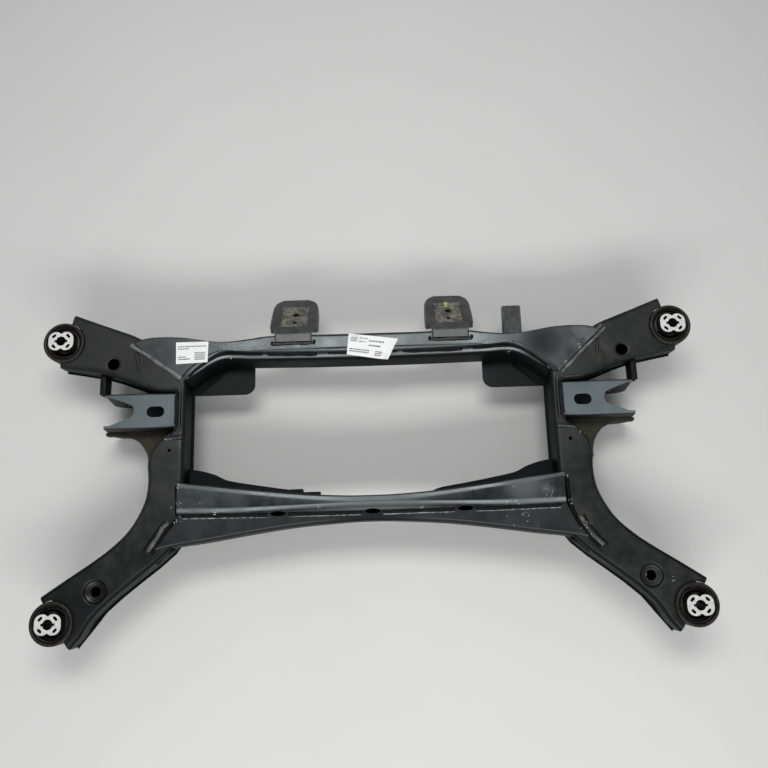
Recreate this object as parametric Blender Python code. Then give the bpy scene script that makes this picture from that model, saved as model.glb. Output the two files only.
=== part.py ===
"""Pressed and welded axle subframe with four rubber mounting bushes.

Metres, +Z up. The part lies on its underside. X is across the axle, +X to the right in plan.
Plan positions below are measured from the middle of the four bushes, and the whole part hangs
from a datum that shifts it so that its origin is the middle of its base.
The two halves mirror each other, so places are given as a distance from the centre plane.
"""
import math

import bmesh
import bpy
from mathutils import Matrix, Vector

# Clearance between pieces that touch or are welded together
GAP = 0.0003

# Sheet thicknesses
SHEET = 0.003
BASE_SHEET = 0.0025
BRACKET_SHEET = 0.0035

# Heights above the surface that the part lies on
SKIN_Z = 0.136
ARM_DROP = 0.0025
NECK_DROP = 0.003
SIDE_DEPTH = 0.055
ARM_RISE = 0.016
BASE_FOLD = 0.012
BASE_LIP = 0.003
EDGE_RADIUS = 0.008

# Bushes, and the edge of the rear crossmember, as distances from the middle of the bushes
HALF_LENGTH = 0.235
BACK_Y = 0.237
REAR_BUSH = (0.530, HALF_LENGTH)
FRONT_BUSH = (0.522, -HALF_LENGTH)
HOUSING_RADIUS = 0.0355
HOUSING_WALL = 0.0030
HOUSING_LENGTH = 0.060
HOUSING_PROUD = 0.0015
SLEEVE_WALL = 0.0018
RIM_HEIGHT = 0.0042
CORE_PROUD = 0.0145
CORE_WIDTH = 0.0430
CORE_HEIGHT = 0.0325
CORE_CORNER = 0.0125
CORE_NOTCH = 0.0032
CORE_BORE = 0.0083
BORE_NOTCH = 0.0042
LOBE_HOLE = (0.0022, 0.0042)
VOID_INNER = 0.0185
VOID_OUTER = 0.0235
VOID_ANGLE = math.radians(66)

# Holes in the side members
ARM_HOLE = (0.443, 0.195)
ARM_HOLE_RADIUS = 0.0100
CUP_CENTRE = (0.455, -0.1875)
CUP_RADIUS = 0.0200
CUP_FLOOR_RADIUS = 0.0125
CUP_DEPTH = 0.0050
CUP_HOLE_RADIUS = 0.0084
PILOT_HOLE = (0.340, 0.041)
PILOT_RADIUS = 0.0030

# Side member: the inner wall of the central window and the narrow neck beside the link bracket
WINDOW_X = 0.316
NECK_X = 0.335
NECK_Y = (0.078, 0.140)

# Link bracket
LINK_Y = (0.083, 0.145)
LINK_WEB_DROP = 0.018
LINK_TIP_X = 0.461
LINK_LOBE_X = 0.450
LINK_LOBE_RADIUS = 0.026
LINK_NOTCH_X = 0.409
LINK_NOTCH_MOUTH = 0.009
SLOT_CENTRE = (0.3715, 0.1115)
SLOT_LENGTH = 0.0305
SLOT_WIDTH = 0.0190
BRACE_X = 0.411
BRACE_Z = 0.052
BOLT_RADIUS = 0.0070
STRUT_X = (0.4605, 0.4725)
STRUT_DEPTH = 0.026

# Crossmembers
REAR_TOP_DEPTH = 0.034
REAR_BASE_Z = 0.076
REAR_BASE_BACK = BACK_Y - 0.0118
REAR_SEAM_DROP = 0.0055
REAR_LEDGE = 0.007
FRONT_FACE_RISE = 0.0055
FRONT_TOP_FACE = 0.012
FRONT_BASE_Z = 0.062
FRONT_LEDGE_Z = SKIN_Z - SIDE_DEPTH + 0.015
SEAM_HOLES_X = (-0.155, 0.002, 0.156)
SEAM_HOLE_SIZE = (0.0130, 0.0040)
FRONT_END_X = 0.3215
LAP_X = 0.374
FACE_DROP = 0.003
LEDGE_TABS = ((-0.1424, -0.1175, -0.0276), (-0.1138, -0.0874, -0.0331),
              (0.1099, 0.1401, -0.0341), (0.1411, 0.1627, -0.0300))

# Mount brackets on the rear crossmember
MOUNT_X = {"l": -0.129, "r": 0.1455}
MOUNT_TAB_Y = BACK_Y - 0.013
MOUNT_BEND_Y = BACK_Y - 0.0008
MOUNT_TAB_WIDTH = 0.065
MOUNT_WIDTH = 0.085
MOUNT_LENGTH = 0.096
MOUNT_SLOPE = math.radians(37)
MOUNT_FLANGE = 0.014
MOUNT_HOLE_RADIUS = 0.0060
MOUNT_PIN_RADIUS = 0.0038
MOUNT_NUT = (0.034, 0.042, 0.009)
MOUNT_DISH = (0.0, 0.047)

# Brackets below the frame
REAR_LINK_X = (0.2055, 0.318)
REAR_LINK_Y = (0.1455, 0.2160)
REAR_LINK_Z = 0.030
REAR_LINK_DRAFT = 0.13
FRONT_LINK_X = (0.322, 0.382)
FRONT_LINK_Y = (-0.104, -0.034)
LINK_BOLT_Z = 0.026

# The origin is the middle of the base: the plan extent in Y is centred on it
ORIGIN_Y = 0.01965

COAT = (0.026, 0.028, 0.030)
COAT_BLUE = (0.075, 0.090, 0.102)
DUSTY = (0.150, 0.140, 0.118)
RUBBER = (0.014, 0.012, 0.011)
STEEL = (0.040, 0.038, 0.036)
ALUMINIUM = (0.780, 0.780, 0.760)


def clear_scene():
    for obj in list(bpy.data.objects):
        bpy.data.objects.remove(obj, do_unlink=True)


def material(name, colour, roughness, metallic):
    mat = bpy.data.materials.get(name) or bpy.data.materials.new(name)
    mat.use_nodes = True
    shader = mat.node_tree.nodes["Principled BSDF"]
    shader.inputs["Base Color"].default_value = (*colour, 1.0)
    shader.inputs["Roughness"].default_value = roughness
    shader.inputs["Metallic"].default_value = metallic
    return mat


def add_object(name, bm, mat, datum):
    """Make a closed, smooth-shaded object of a bmesh and hang it on the datum."""
    bmesh.ops.remove_doubles(bm, verts=bm.verts, dist=1e-6)
    bmesh.ops.recalc_face_normals(bm, faces=bm.faces)
    mesh = bpy.data.meshes.new(name)
    bm.to_mesh(mesh)
    bm.free()
    mesh.shade_smooth()
    mesh.set_sharp_from_angle(angle=math.radians(32))
    obj = bpy.data.objects.new(name, mesh)
    bpy.context.scene.collection.objects.link(obj)
    obj.parent = datum
    if mat is not None:
        mesh.materials.append(mat)
    return obj


def add_cutter(name, bm, datum):
    """Make a tool for a Boolean, which isn't a piece of the part."""
    obj = add_object(name, bm, None, datum)
    obj.hide_render = True
    obj.display_type = "WIRE"
    return obj


def boolean(obj, tool, operation="DIFFERENCE"):
    modifier = obj.modifiers.new(tool.name, "BOOLEAN")
    modifier.operation = operation
    modifier.solver = "EXACT"
    modifier.object = tool


def smooth_curve(points, count):
    """Sample a Catmull-Rom curve through the points at evenly spaced lengths."""
    pts = [Vector(p) for p in points]
    pts = [2 * pts[0] - pts[1]] + pts + [2 * pts[-1] - pts[-2]]
    fine = []
    for i in range(1, len(pts) - 2):
        a, b, c, d = pts[i - 1:i + 3]
        for k in range(12):
            t = k / 12
            fine.append(0.5 * (2 * b + (c - a) * t + (2 * a - 5 * b + 4 * c - d) * t * t
                               + (3 * b - a - 3 * c + d) * t ** 3))
    fine.append(pts[-2])
    lengths = [0.0]
    for p, q in zip(fine, fine[1:]):
        lengths.append(lengths[-1] + (q - p).length)
    samples = []
    j = 0
    for k in range(count):
        target = lengths[-1] * k / (count - 1)
        while j < len(fine) - 2 and lengths[j + 1] < target:
            j += 1
        span = lengths[j + 1] - lengths[j]
        samples.append(fine[j].lerp(fine[j + 1], (target - lengths[j]) / span))
    return samples


def loft(rings):
    """Skin closed rings of points, with flat end caps."""
    bm = bmesh.new()
    layers = [[bm.verts.new(p) for p in ring] for ring in rings]
    size = len(layers[0])
    for low, high in zip(layers, layers[1:]):
        for i in range(size):
            j = (i + 1) % size
            bm.faces.new((low[i], low[j], high[j], high[i]))
    bm.faces.new(layers[0])
    bm.faces.new(list(reversed(layers[-1])))
    return bm


def ruled_loft(side, rail_a, rail_b, section, lifts=None, feet=None):
    """Carry a section along two rails.

    Each section point is (t, d, z, k): t runs from rail A to rail B, d is an extra distance
    that way, and z is its height. Points of the skin (k = 1) take the station's lift, and points
    at the foot of the walls (k = 0) take its foot.
    """
    lifts = lifts or [0.0] * len(rail_a)
    feet = feet or [0.0] * len(rail_a)
    rings = []
    for a, b, lift, foot in zip(rail_a, rail_b, lifts, feet):
        a = Vector((a[0], a[1]))
        b = Vector((b[0], b[1]))
        way = (b - a).normalized()
        ring = []
        for t, d, z, k in section:
            p = a.lerp(b, t) + way * d
            ring.append((side * p.x, p.y, z + k * lift + (1 - k) * foot))
        rings.append(ring)
    return loft(rings)


def fold(t, d, z, radius, inward, steps=2):
    """Points of a rounded top corner, from the wall up on to the top or back down."""
    points = []
    for i in range(steps + 1):
        angle = 0.5 * math.pi * i / steps
        points.append((t, d + inward * radius * (1 - math.cos(angle)),
                       z - radius + radius * math.sin(angle), 1))
    return points


def channel_section(top, bottom, radius, sheet):
    """A folded channel, open at the bottom, whose walls stand on the two rails."""
    outer = [(0, 0, bottom, 0)] + fold(0, 0, top, radius, 1)
    outer += list(reversed(fold(1, 0, top, radius, -1))) + [(1, 0, bottom, 0)]
    inner_radius = radius - sheet
    inner = [(1, -sheet, bottom, 0)] + fold(1, -sheet, top - sheet, inner_radius, -1)
    inner += list(reversed(fold(0, sheet, top - sheet, inner_radius, 1))) + [(0, sheet, bottom, 0)]
    return outer + inner


def block_section(top, bottom, grow):
    return [(0, -grow, bottom, 0), (0, -grow, top, 1), (1, grow, top, 1), (1, grow, bottom, 0)]


def prism(side, outline, low, high, shrink=0.0, centre=(0.0, 0.0)):
    """An upright prism of a plan outline. With shrink, its lower end is drawn in to the centre."""
    rings = []
    for z, scale in ((low, 1.0 - shrink), (high, 1.0)):
        rings.append([(side * (centre[0] + (x - centre[0]) * scale),
                       centre[1] + (y - centre[1]) * scale, z) for x, y in outline])
    return loft(rings)


def circle(centre, radius, count=20):
    return [(centre[0] + radius * math.cos(2 * math.pi * i / count),
             centre[1] + radius * math.sin(2 * math.pi * i / count)) for i in range(count)]


def rounded_box(centre, width, height, radius, steps=4):
    """Outline of a rectangle with round corners."""
    points = []
    for corner in range(4):
        sx = 1 if corner in (0, 3) else -1
        sy = 1 if corner in (0, 1) else -1
        cx = centre[0] + sx * (width / 2 - radius)
        cy = centre[1] + sy * (height / 2 - radius)
        for i in range(steps + 1):
            angle = 0.5 * math.pi * (corner + i / steps)
            points.append((cx + radius * math.cos(angle), cy + radius * math.sin(angle)))
    return points


def revolve(centre, profile, count=24):
    """Turn a closed (radius, z) profile about an upright axis."""
    bm = bmesh.new()
    columns = []
    for i in range(count):
        angle = 2 * math.pi * i / count
        columns.append([bm.verts.new((centre[0] + r * math.cos(angle),
                                      centre[1] + r * math.sin(angle), z)) for r, z in profile])
    size = len(profile)
    for i in range(count):
        a = columns[i]
        b = columns[(i + 1) % count]
        for k in range(size):
            j = (k + 1) % size
            bm.faces.new((a[k], b[k], b[j], a[j]))
    return bm


class SideRails:
    """The two edges of a side member in plan, from the rear bush to the front bush."""

    def __init__(self):
        rear_x, rear_y = REAR_BUSH
        arm_outer = smooth_curve([(rear_x + 0.007, rear_y - 0.0430), (rear_x - 0.012, rear_y - 0.0460),
                                  (0.4800, 0.1825), (0.4585, 0.1780), (0.430, 0.1690),
                                  (0.395, 0.1550), (0.366, 0.1462)], 8)
        arm_inner = smooth_curve([(rear_x - 0.015, rear_y + 0.0520), (0.470, 0.2695), (0.433, 0.2555),
                                  (0.405, 0.2440), (0.362, 0.2180), (0.332, 0.1900)], 8)
        front_x, front_y = FRONT_BUSH
        neck_outer = [(0.345, LINK_Y[1] + GAP), (0.3375, 0.1445), (NECK_X, NECK_Y[1]),
                      (NECK_X, NECK_Y[0] + 0.002), (0.338, 0.0745), (0.345, 0.0690), (0.360, 0.0570)]
        neck_inner = [(0.320, 0.1720), (WINDOW_X, 0.1600), (WINDOW_X, NECK_Y[1]),
                      (WINDOW_X, NECK_Y[0] + 0.002), (WINDOW_X, 0.0745), (WINDOW_X, 0.0640),
                      (WINDOW_X, 0.0540)]
        front_outer = smooth_curve([(0.3735, 0.040), (0.3775, 0.020), (0.3755, -0.010),
                                    (0.3790, -0.040), (0.3900, -0.067), (0.4060, -0.092),
                                    (0.4290, -0.1145), (0.4610, -0.1380),
                                    (front_x - 0.017, front_y + 0.0685),
                                    (front_x + 0.023, front_y + 0.0420)], 12)
        front_inner = smooth_curve([(WINDOW_X, 0.040), (WINDOW_X, 0.010), (WINDOW_X, -0.040),
                                    (0.3175, -0.085), (0.3260, -0.1130), (0.3520, -0.1400),
                                    (0.3990, -0.1770), (0.4370, -0.2080), (0.4620, -0.2340),
                                    (front_x - 0.044, front_y - 0.0250),
                                    (front_x - 0.029, front_y - 0.0420)], 12)
        self.outer = [tuple(p) for p in arm_outer] + neck_outer + [tuple(p) for p in front_outer]
        self.inner = [tuple(p) for p in arm_inner] + neck_inner + [tuple(p) for p in front_inner]
        arm_lift = [-ARM_DROP] * 5 + [-0.5 * ARM_DROP, 0.0, 0.0]
        neck_lift = [-0.5 * NECK_DROP] + [-NECK_DROP] * 5 + [0.0]
        front_lift = [0.0] * 6 + [-0.5 * ARM_DROP] + [-ARM_DROP] * 5
        self.lift = arm_lift + neck_lift + front_lift
        rise = [ARM_RISE * max(0.0, 1 - i / 5) for i in range(12)]
        self.foot = rise[:8] + [0.0] * 7 + list(reversed(rise))


def side_member_top(side, tag, rails, coat, datum):
    """Upper pressing: a folded channel that follows the rails."""
    section = channel_section(SKIN_Z, SKIN_Z - SIDE_DEPTH, EDGE_RADIUS, SHEET)
    bm = ruled_loft(side, rails.outer, rails.inner, section, rails.lift, rails.foot)
    obj = add_object("side_member_top_" + tag, bm, coat, datum)
    cut_bush_ends(obj, side, tag, datum)
    arm_z = SKIN_Z - ARM_DROP
    hole = add_cutter("cut_arm_hole_" + tag,
                      prism(side, circle(ARM_HOLE, ARM_HOLE_RADIUS), arm_z - 0.01, arm_z + 0.01), datum)
    boolean(obj, hole)
    under = add_cutter("add_cup_" + tag,
                       prism(side, circle(CUP_CENTRE, CUP_RADIUS + 0.0015), arm_z - CUP_DEPTH - SHEET,
                             arm_z - 0.6 * SHEET, 0.3, CUP_CENTRE), datum)
    boolean(obj, under, "UNION")
    lower = 1 - CUP_FLOOR_RADIUS / CUP_RADIUS
    dish = add_cutter("cut_cup_" + tag,
                      prism(side, circle(CUP_CENTRE, CUP_RADIUS), arm_z - CUP_DEPTH, arm_z + 0.0001,
                            lower, CUP_CENTRE), datum)
    boolean(obj, dish)
    bore = add_cutter("cut_cup_hole_" + tag,
                      prism(side, circle(CUP_CENTRE, CUP_HOLE_RADIUS), arm_z - 0.02, arm_z + 0.01), datum)
    boolean(obj, bore)
    ring = circle(PILOT_HOLE, PILOT_RADIUS, 12)
    pilot = add_cutter("cut_pilot_" + tag, prism(side, ring, SKIN_Z - 0.01, SKIN_Z + 0.01), datum)
    boolean(obj, pilot)
    return obj


def side_member_base(side, tag, rails, coat, datum):
    """Lower pressing: a plate with a small lip outside and folded walls inside the upper one."""
    top = SKIN_Z - SIDE_DEPTH - GAP
    low = top - BASE_SHEET
    high = top + BASE_FOLD
    inside = SHEET + GAP
    section = [(0, -BASE_LIP, low, 0), (0, -BASE_LIP, top, 0), (0, inside, top, 0), (0, inside, high, 0),
               (0, inside + BASE_SHEET, high, 0), (0, inside + BASE_SHEET, top, 0),
               (1, -inside - BASE_SHEET, top, 0), (1, -inside - BASE_SHEET, high, 0),
               (1, -inside, high, 0), (1, -inside, top, 0), (1, BASE_LIP, top, 0), (1, BASE_LIP, low, 0)]
    obj = add_object("side_member_base_" + tag,
                     ruled_loft(side, rails.outer, rails.inner, section, None, rails.foot), coat, datum)
    cut_bush_ends(obj, side, tag, datum)
    for name, spot, radius in (("rear", ARM_HOLE, ARM_HOLE_RADIUS), ("front", CUP_CENTRE, CUP_HOLE_RADIUS)):
        drain = add_cutter("cut_drain_" + name + "_" + tag,
                           prism(side, circle(spot, 0.8 * radius, 12), low - 0.01, top + ARM_RISE), datum)
        boolean(obj, drain)
    return obj


def cut_bush_ends(obj, side, tag, datum):
    for name, spot in (("rear", REAR_BUSH), ("front", FRONT_BUSH)):
        key = "cut_housing_" + name + "_" + tag
        tool = bpy.data.objects.get(key)
        if tool is None:
            outline = circle(spot, HOUSING_RADIUS + 2 * GAP, 24)
            tool = add_cutter(key, prism(side, outline, 0.02, 0.20), datum)
        boolean(obj, tool)


def side_envelope(side, tag, rails, datum):
    """The room that a side member takes up, with its clearance, to trim what meets it."""
    section = block_section(SKIN_Z + GAP, SKIN_Z - SIDE_DEPTH - BASE_SHEET - 2 * GAP, GAP)
    bm = ruled_loft(side, rails.outer, rails.inner, section, rails.lift, rails.foot)
    return add_cutter("trim_side_member_" + tag, bm, datum)


def lip_envelope(side, tag, rails, datum):
    """The room that the lower pressing's lip takes up, with its clearance."""
    top = SKIN_Z - SIDE_DEPTH
    low = top - BRACKET_SHEET - 3 * GAP
    section = [(t, d, z, 0) for t, d, z, _ in block_section(top, low, BASE_LIP + GAP)]
    bm = ruled_loft(side, rails.outer, rails.inner, section, None, rails.foot)
    return add_cutter("trim_side_lip_" + tag, bm, datum)


def core_outline(grow=0.0):
    """Four-lobed outline of the bush core: a rounded box with a notch in each long side."""
    outline = rounded_box((0, 0), CORE_WIDTH + 2 * grow, CORE_HEIGHT + 2 * grow, CORE_CORNER + grow, 4)
    notched = []
    for i, (x, y) in enumerate(outline):
        notched.append((x, y))
        following = outline[(i + 1) % len(outline)]
        if abs(y) > 0.4 * CORE_HEIGHT and x * following[0] < 0:
            way = math.copysign(1, following[0])
            for share in (-0.0052, -0.0020, 0.0020, 0.0052):
                dip = CORE_NOTCH * math.exp(-(share / 0.0034) ** 2)
                notched.append((way * share, y - math.copysign(dip, y)))
    return notched


def moved(outline, centre):
    return [(x + centre[0], y + centre[1]) for x, y in outline]


def bush(spot, side, tag, mats, datum):
    """Housing tube, outer sleeve, rubber and aluminium core of one mounting bush."""
    centre = (side * spot[0], spot[1])
    top = SKIN_Z - ARM_DROP + HOUSING_PROUD
    bottom = top - HOUSING_LENGTH
    bore = HOUSING_RADIUS - HOUSING_WALL
    housing = revolve(centre, [(bore, bottom), (HOUSING_RADIUS, bottom), (HOUSING_RADIUS, top),
                               (bore, top)])
    add_object("bush_housing_" + tag, housing, mats["coat"], datum)
    sleeve_out = bore - GAP
    sleeve_in = sleeve_out - SLEEVE_WALL
    sleeve = revolve(centre, [(sleeve_in, bottom - 0.001), (sleeve_out, bottom - 0.001),
                              (sleeve_out, top), (sleeve_in, top)])
    add_object("bush_sleeve_" + tag, sleeve, mats["steel"], datum)

    seat = top + GAP
    rim = top + RIM_HEIGHT
    edge = sleeve_in - GAP
    profile = [(0.004, bottom + 0.010), (0.024, bottom + 0.010), (edge, bottom - 0.001),
               (edge, seat), (HOUSING_RADIUS - 0.0002, seat), (HOUSING_RADIUS - 0.0012, rim),
               (0.0305, rim), (0.0285, rim - 0.0035), (0.0265, rim - 0.0040), (0.0250, rim - 0.0080),
               (0.004, rim - 0.0060)]
    rubber = add_object("bush_rubber_" + tag, revolve(centre, profile), mats["rubber"], datum)
    pocket = add_cutter("cut_core_" + tag,
                        prism(1, moved(core_outline(GAP), centre), bottom - 0.03, top + 0.03), datum)
    boolean(rubber, pocket)
    for sign, name in ((1, "rear"), (-1, "front")):
        arc = []
        for radius, way in ((VOID_OUTER, 1), (VOID_INNER, -1)):
            for i in range(-4, 5):
                angle = sign * 0.5 * math.pi + way * sign * VOID_ANGLE * i / 4
                arc.append((centre[0] + radius * math.cos(angle), centre[1] + radius * math.sin(angle)))
        void = add_cutter("cut_void_" + name + "_" + tag, prism(1, arc, top - 0.022, top + 0.03), datum)
        boolean(rubber, void)

    core_top = top + CORE_PROUD
    core_bottom = bottom - 0.006
    core = add_object("bush_core_" + tag, prism(1, moved(core_outline(), centre), core_bottom, core_top),
                      mats["aluminium"], datum)
    bore_tool = add_cutter("cut_bore_" + tag,
                           prism(1, circle(centre, CORE_BORE), core_bottom - 0.01, core_top + 0.01), datum)
    boolean(core, bore_tool)
    ears = rounded_box(centre, 2 * (CORE_BORE + 0.0030), BORE_NOTCH, 0.0010, 2)
    ear_tool = add_cutter("cut_ears_" + tag, prism(1, ears, core_bottom - 0.01, core_top + 0.01), datum)
    boolean(core, ear_tool)
    for i, (sx, sy) in enumerate(((1, 1), (-1, 1), (-1, -1), (1, -1))):
        hole = []
        turn = Matrix.Rotation(math.atan2(sy, sx) + 0.5 * math.pi, 2)
        for x, y in rounded_box((0, 0), 2 * LOBE_HOLE[1], 2 * LOBE_HOLE[0], LOBE_HOLE[0] - 0.0002, 2):
            p = turn @ Vector((x, y))
            hole.append((centre[0] + sx * 0.0122 + p.x, centre[1] + sy * 0.0092 + p.y))
        lobe = add_cutter("cut_lobe_%d_%s" % (i, tag),
                          prism(1, hole, core_bottom - 0.01, core_top + 0.01), datum)
        boolean(core, lobe)


def upright_plate(side, profile, y_low, y_high):
    """A plate across Y with an (x, z) profile."""
    return loft([[(side * x, y, z) for x, z in profile] for y in (y_low, y_high)])


def flange_profile(root_x, top, tip_x, lobe_x, lobe_z, radius, root_z):
    """Bracket flange: straight top, outer edge swept out to a round lobe, and a raised root."""
    profile = [(root_x, root_z), (root_x, top), (tip_x, top)]
    for i in range(11):
        angle = math.radians(12) - math.radians(108) * i / 10
        profile.append((lobe_x + radius * math.cos(angle), lobe_z + radius * math.sin(angle)))
    return profile


def under_envelope(side, tag, datum):
    """The room below a side member, so that a crossmember's floor stops at its inner wall."""
    near = WINDOW_X - BASE_LIP - 2 * GAP
    outline = [(near, -0.17), (0.43, -0.17), (0.43, 0.26), (near, 0.26)]
    return add_cutter("trim_under_" + tag, prism(side, outline, 0.03, SKIN_Z - SIDE_DEPTH - GAP), datum)


def link_bracket(side, tag, mats, datum):
    """Channel with its web on top, a slot, a V notch and two deep flanges."""
    web_z = SKIN_Z - LINK_WEB_DROP
    root = NECK_X + GAP
    low_y, high_y = LINK_Y
    middle = 0.5 * (low_y + high_y)
    profile = flange_profile(root, web_z - 0.001, LINK_TIP_X - 0.0005, LINK_LOBE_X, LINK_BOLT_Z,
                             LINK_LOBE_RADIUS, 0.058)
    obj = add_object("link_bracket_" + tag,
                     upright_plate(side, profile, high_y - BRACKET_SHEET, high_y), mats["coat_blue"], datum)
    front = add_cutter("add_link_flange_" + tag,
                       upright_plate(side, profile, low_y, low_y + BRACKET_SHEET), datum)
    radius = 0.005
    steps = 3
    rise = [0.5 * math.pi * i / steps for i in range(steps + 1)]
    outline = [(low_y + radius * (1 - math.cos(a)), web_z - radius + radius * math.sin(a)) for a in rise]
    outline += [(high_y - radius * (1 - math.cos(a)), web_z - radius + radius * math.sin(a))
                for a in reversed(rise)]
    wall = 0.7 * BRACKET_SHEET
    outline += [(high_y - wall, web_z - radius), (high_y - radius, web_z - BRACKET_SHEET),
                (low_y + radius, web_z - BRACKET_SHEET), (low_y + wall, web_z - radius)]
    web = add_cutter("add_link_web_" + tag,
                     loft([[(side * x, y, z) for y, z in outline] for x in (root, LINK_TIP_X)]), datum)
    brace = add_cutter("add_link_brace_" + tag,
                       prism(side, [(root + 0.006, low_y + wall), (BRACE_X, low_y + wall),
                                    (BRACE_X, high_y - wall), (root + 0.006, high_y - wall)],
                             BRACE_Z, BRACE_Z + BRACKET_SHEET), datum)
    square = add_cutter("cut_link_corner_" + tag,
                        prism(side, [(root - 0.01, low_y - 0.01), (LINK_TIP_X + 0.01, low_y - 0.01),
                                     (LINK_TIP_X + 0.01, high_y + 0.01), (root - 0.01, high_y + 0.01)],
                              web_z - radius, web_z + 0.01), datum)
    boolean(obj, front, "UNION")
    boolean(obj, square)
    boolean(obj, web, "UNION")
    boolean(obj, brace, "UNION")
    notch = [(LINK_TIP_X + 0.02, middle - 0.5 * (high_y - low_y) + LINK_NOTCH_MOUTH - 0.004)]
    notch += [(LINK_TIP_X - 0.010, low_y + LINK_NOTCH_MOUTH - 0.003), (LINK_NOTCH_X + 0.012, middle - 0.014)]
    for i in range(5):
        angle = math.radians(230 - 100 * i / 4)
        notch.append((LINK_NOTCH_X + 0.014 + 0.014 * math.cos(angle), middle + 0.014 * math.sin(angle)))
    notch += [(LINK_NOTCH_X + 0.012, middle + 0.014), (LINK_TIP_X - 0.010, high_y - LINK_NOTCH_MOUTH + 0.003)]
    notch += [(LINK_TIP_X + 0.02, high_y - LINK_NOTCH_MOUTH + 0.004)]
    notch_tool = add_cutter("cut_link_notch_" + tag,
                            prism(side, notch, web_z - radius - 0.003, web_z + 0.01), datum)
    boolean(obj, notch_tool)
    slot = rounded_box(SLOT_CENTRE, SLOT_LENGTH, SLOT_WIDTH, 0.5 * SLOT_WIDTH - 0.0002, 5)
    slot_tool = add_cutter("cut_link_slot_" + tag, prism(side, slot, web_z - 0.02, web_z + 0.01), datum)
    boolean(obj, slot_tool)
    bolt = round_hole(side, (LINK_LOBE_X, LINK_BOLT_Z), BOLT_RADIUS, low_y - 0.01, high_y + 0.01)
    boolean(obj, add_cutter("cut_link_bolt_" + tag, bolt, datum))
    return obj


def link_strut(side, tag, trims, mats, datum):
    """Folded strap between the rear arm and the outer tip of the link bracket."""
    top = SKIN_Z - LINK_WEB_DROP - 0.002
    section = channel_section(top, top - STRUT_DEPTH, 0.0042, BASE_SHEET)
    rail_a = [(STRUT_X[0], LINK_Y[1] + GAP), (STRUT_X[0], 0.190)]
    rail_b = [(STRUT_X[1], LINK_Y[1] + GAP), (STRUT_X[1], 0.190)]
    obj = add_object("link_strut_" + tag, ruled_loft(side, rail_a, rail_b, section), mats["coat"],
                     datum)
    boolean(obj, trims[side])


def link_gusset(side, tag, lips, mats, datum):
    """Plate with a turned-down curved edge, from the bracket's tip to the side member."""
    top = SKIN_Z - SIDE_DEPTH - 0.0004
    flange_y = LINK_Y[0] - GAP
    inside = NECK_X + 0.005
    edge = [(LINK_TIP_X + 0.009, flange_y - 0.0057), (LINK_TIP_X - 0.005, flange_y - 0.0060),
            (0.4400, 0.0750), (0.4250, 0.0722), (0.4120, 0.0655), (0.4030, 0.0550), (0.3960, 0.0430),
            (0.3930, 0.0290), (0.3930, 0.0150)]
    root = [(LINK_TIP_X + 0.009, flange_y), (LINK_TIP_X - 0.005, flange_y), (0.4400, flange_y),
            (0.4050, flange_y), (inside, flange_y), (inside, 0.0740), (inside, 0.0520),
            (inside, 0.0340), (inside, 0.0180)]
    sheet = BRACKET_SHEET
    section = [(0, 0, top - 0.016, 0), (0, 0, top - 0.003, 1), (0, 0.003, top, 1), (1, 0, top, 1),
               (1, 0, top - sheet, 1), (0, sheet + 0.001, top - sheet, 1), (0, sheet, top - sheet - 0.001, 1),
               (0, sheet, top - 0.016, 0)]
    obj = add_object("link_gusset_" + tag, ruled_loft(side, edge, root, section), mats["coat"], datum)
    boolean(obj, lips[side])


def mirrored(points):
    """Extend a half curve, given from its end to the centre plane, over the other half."""
    return [(-x, y) for x, y in points] + [(x, y) for x, y in reversed(points) if x > 1e-6]


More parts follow.
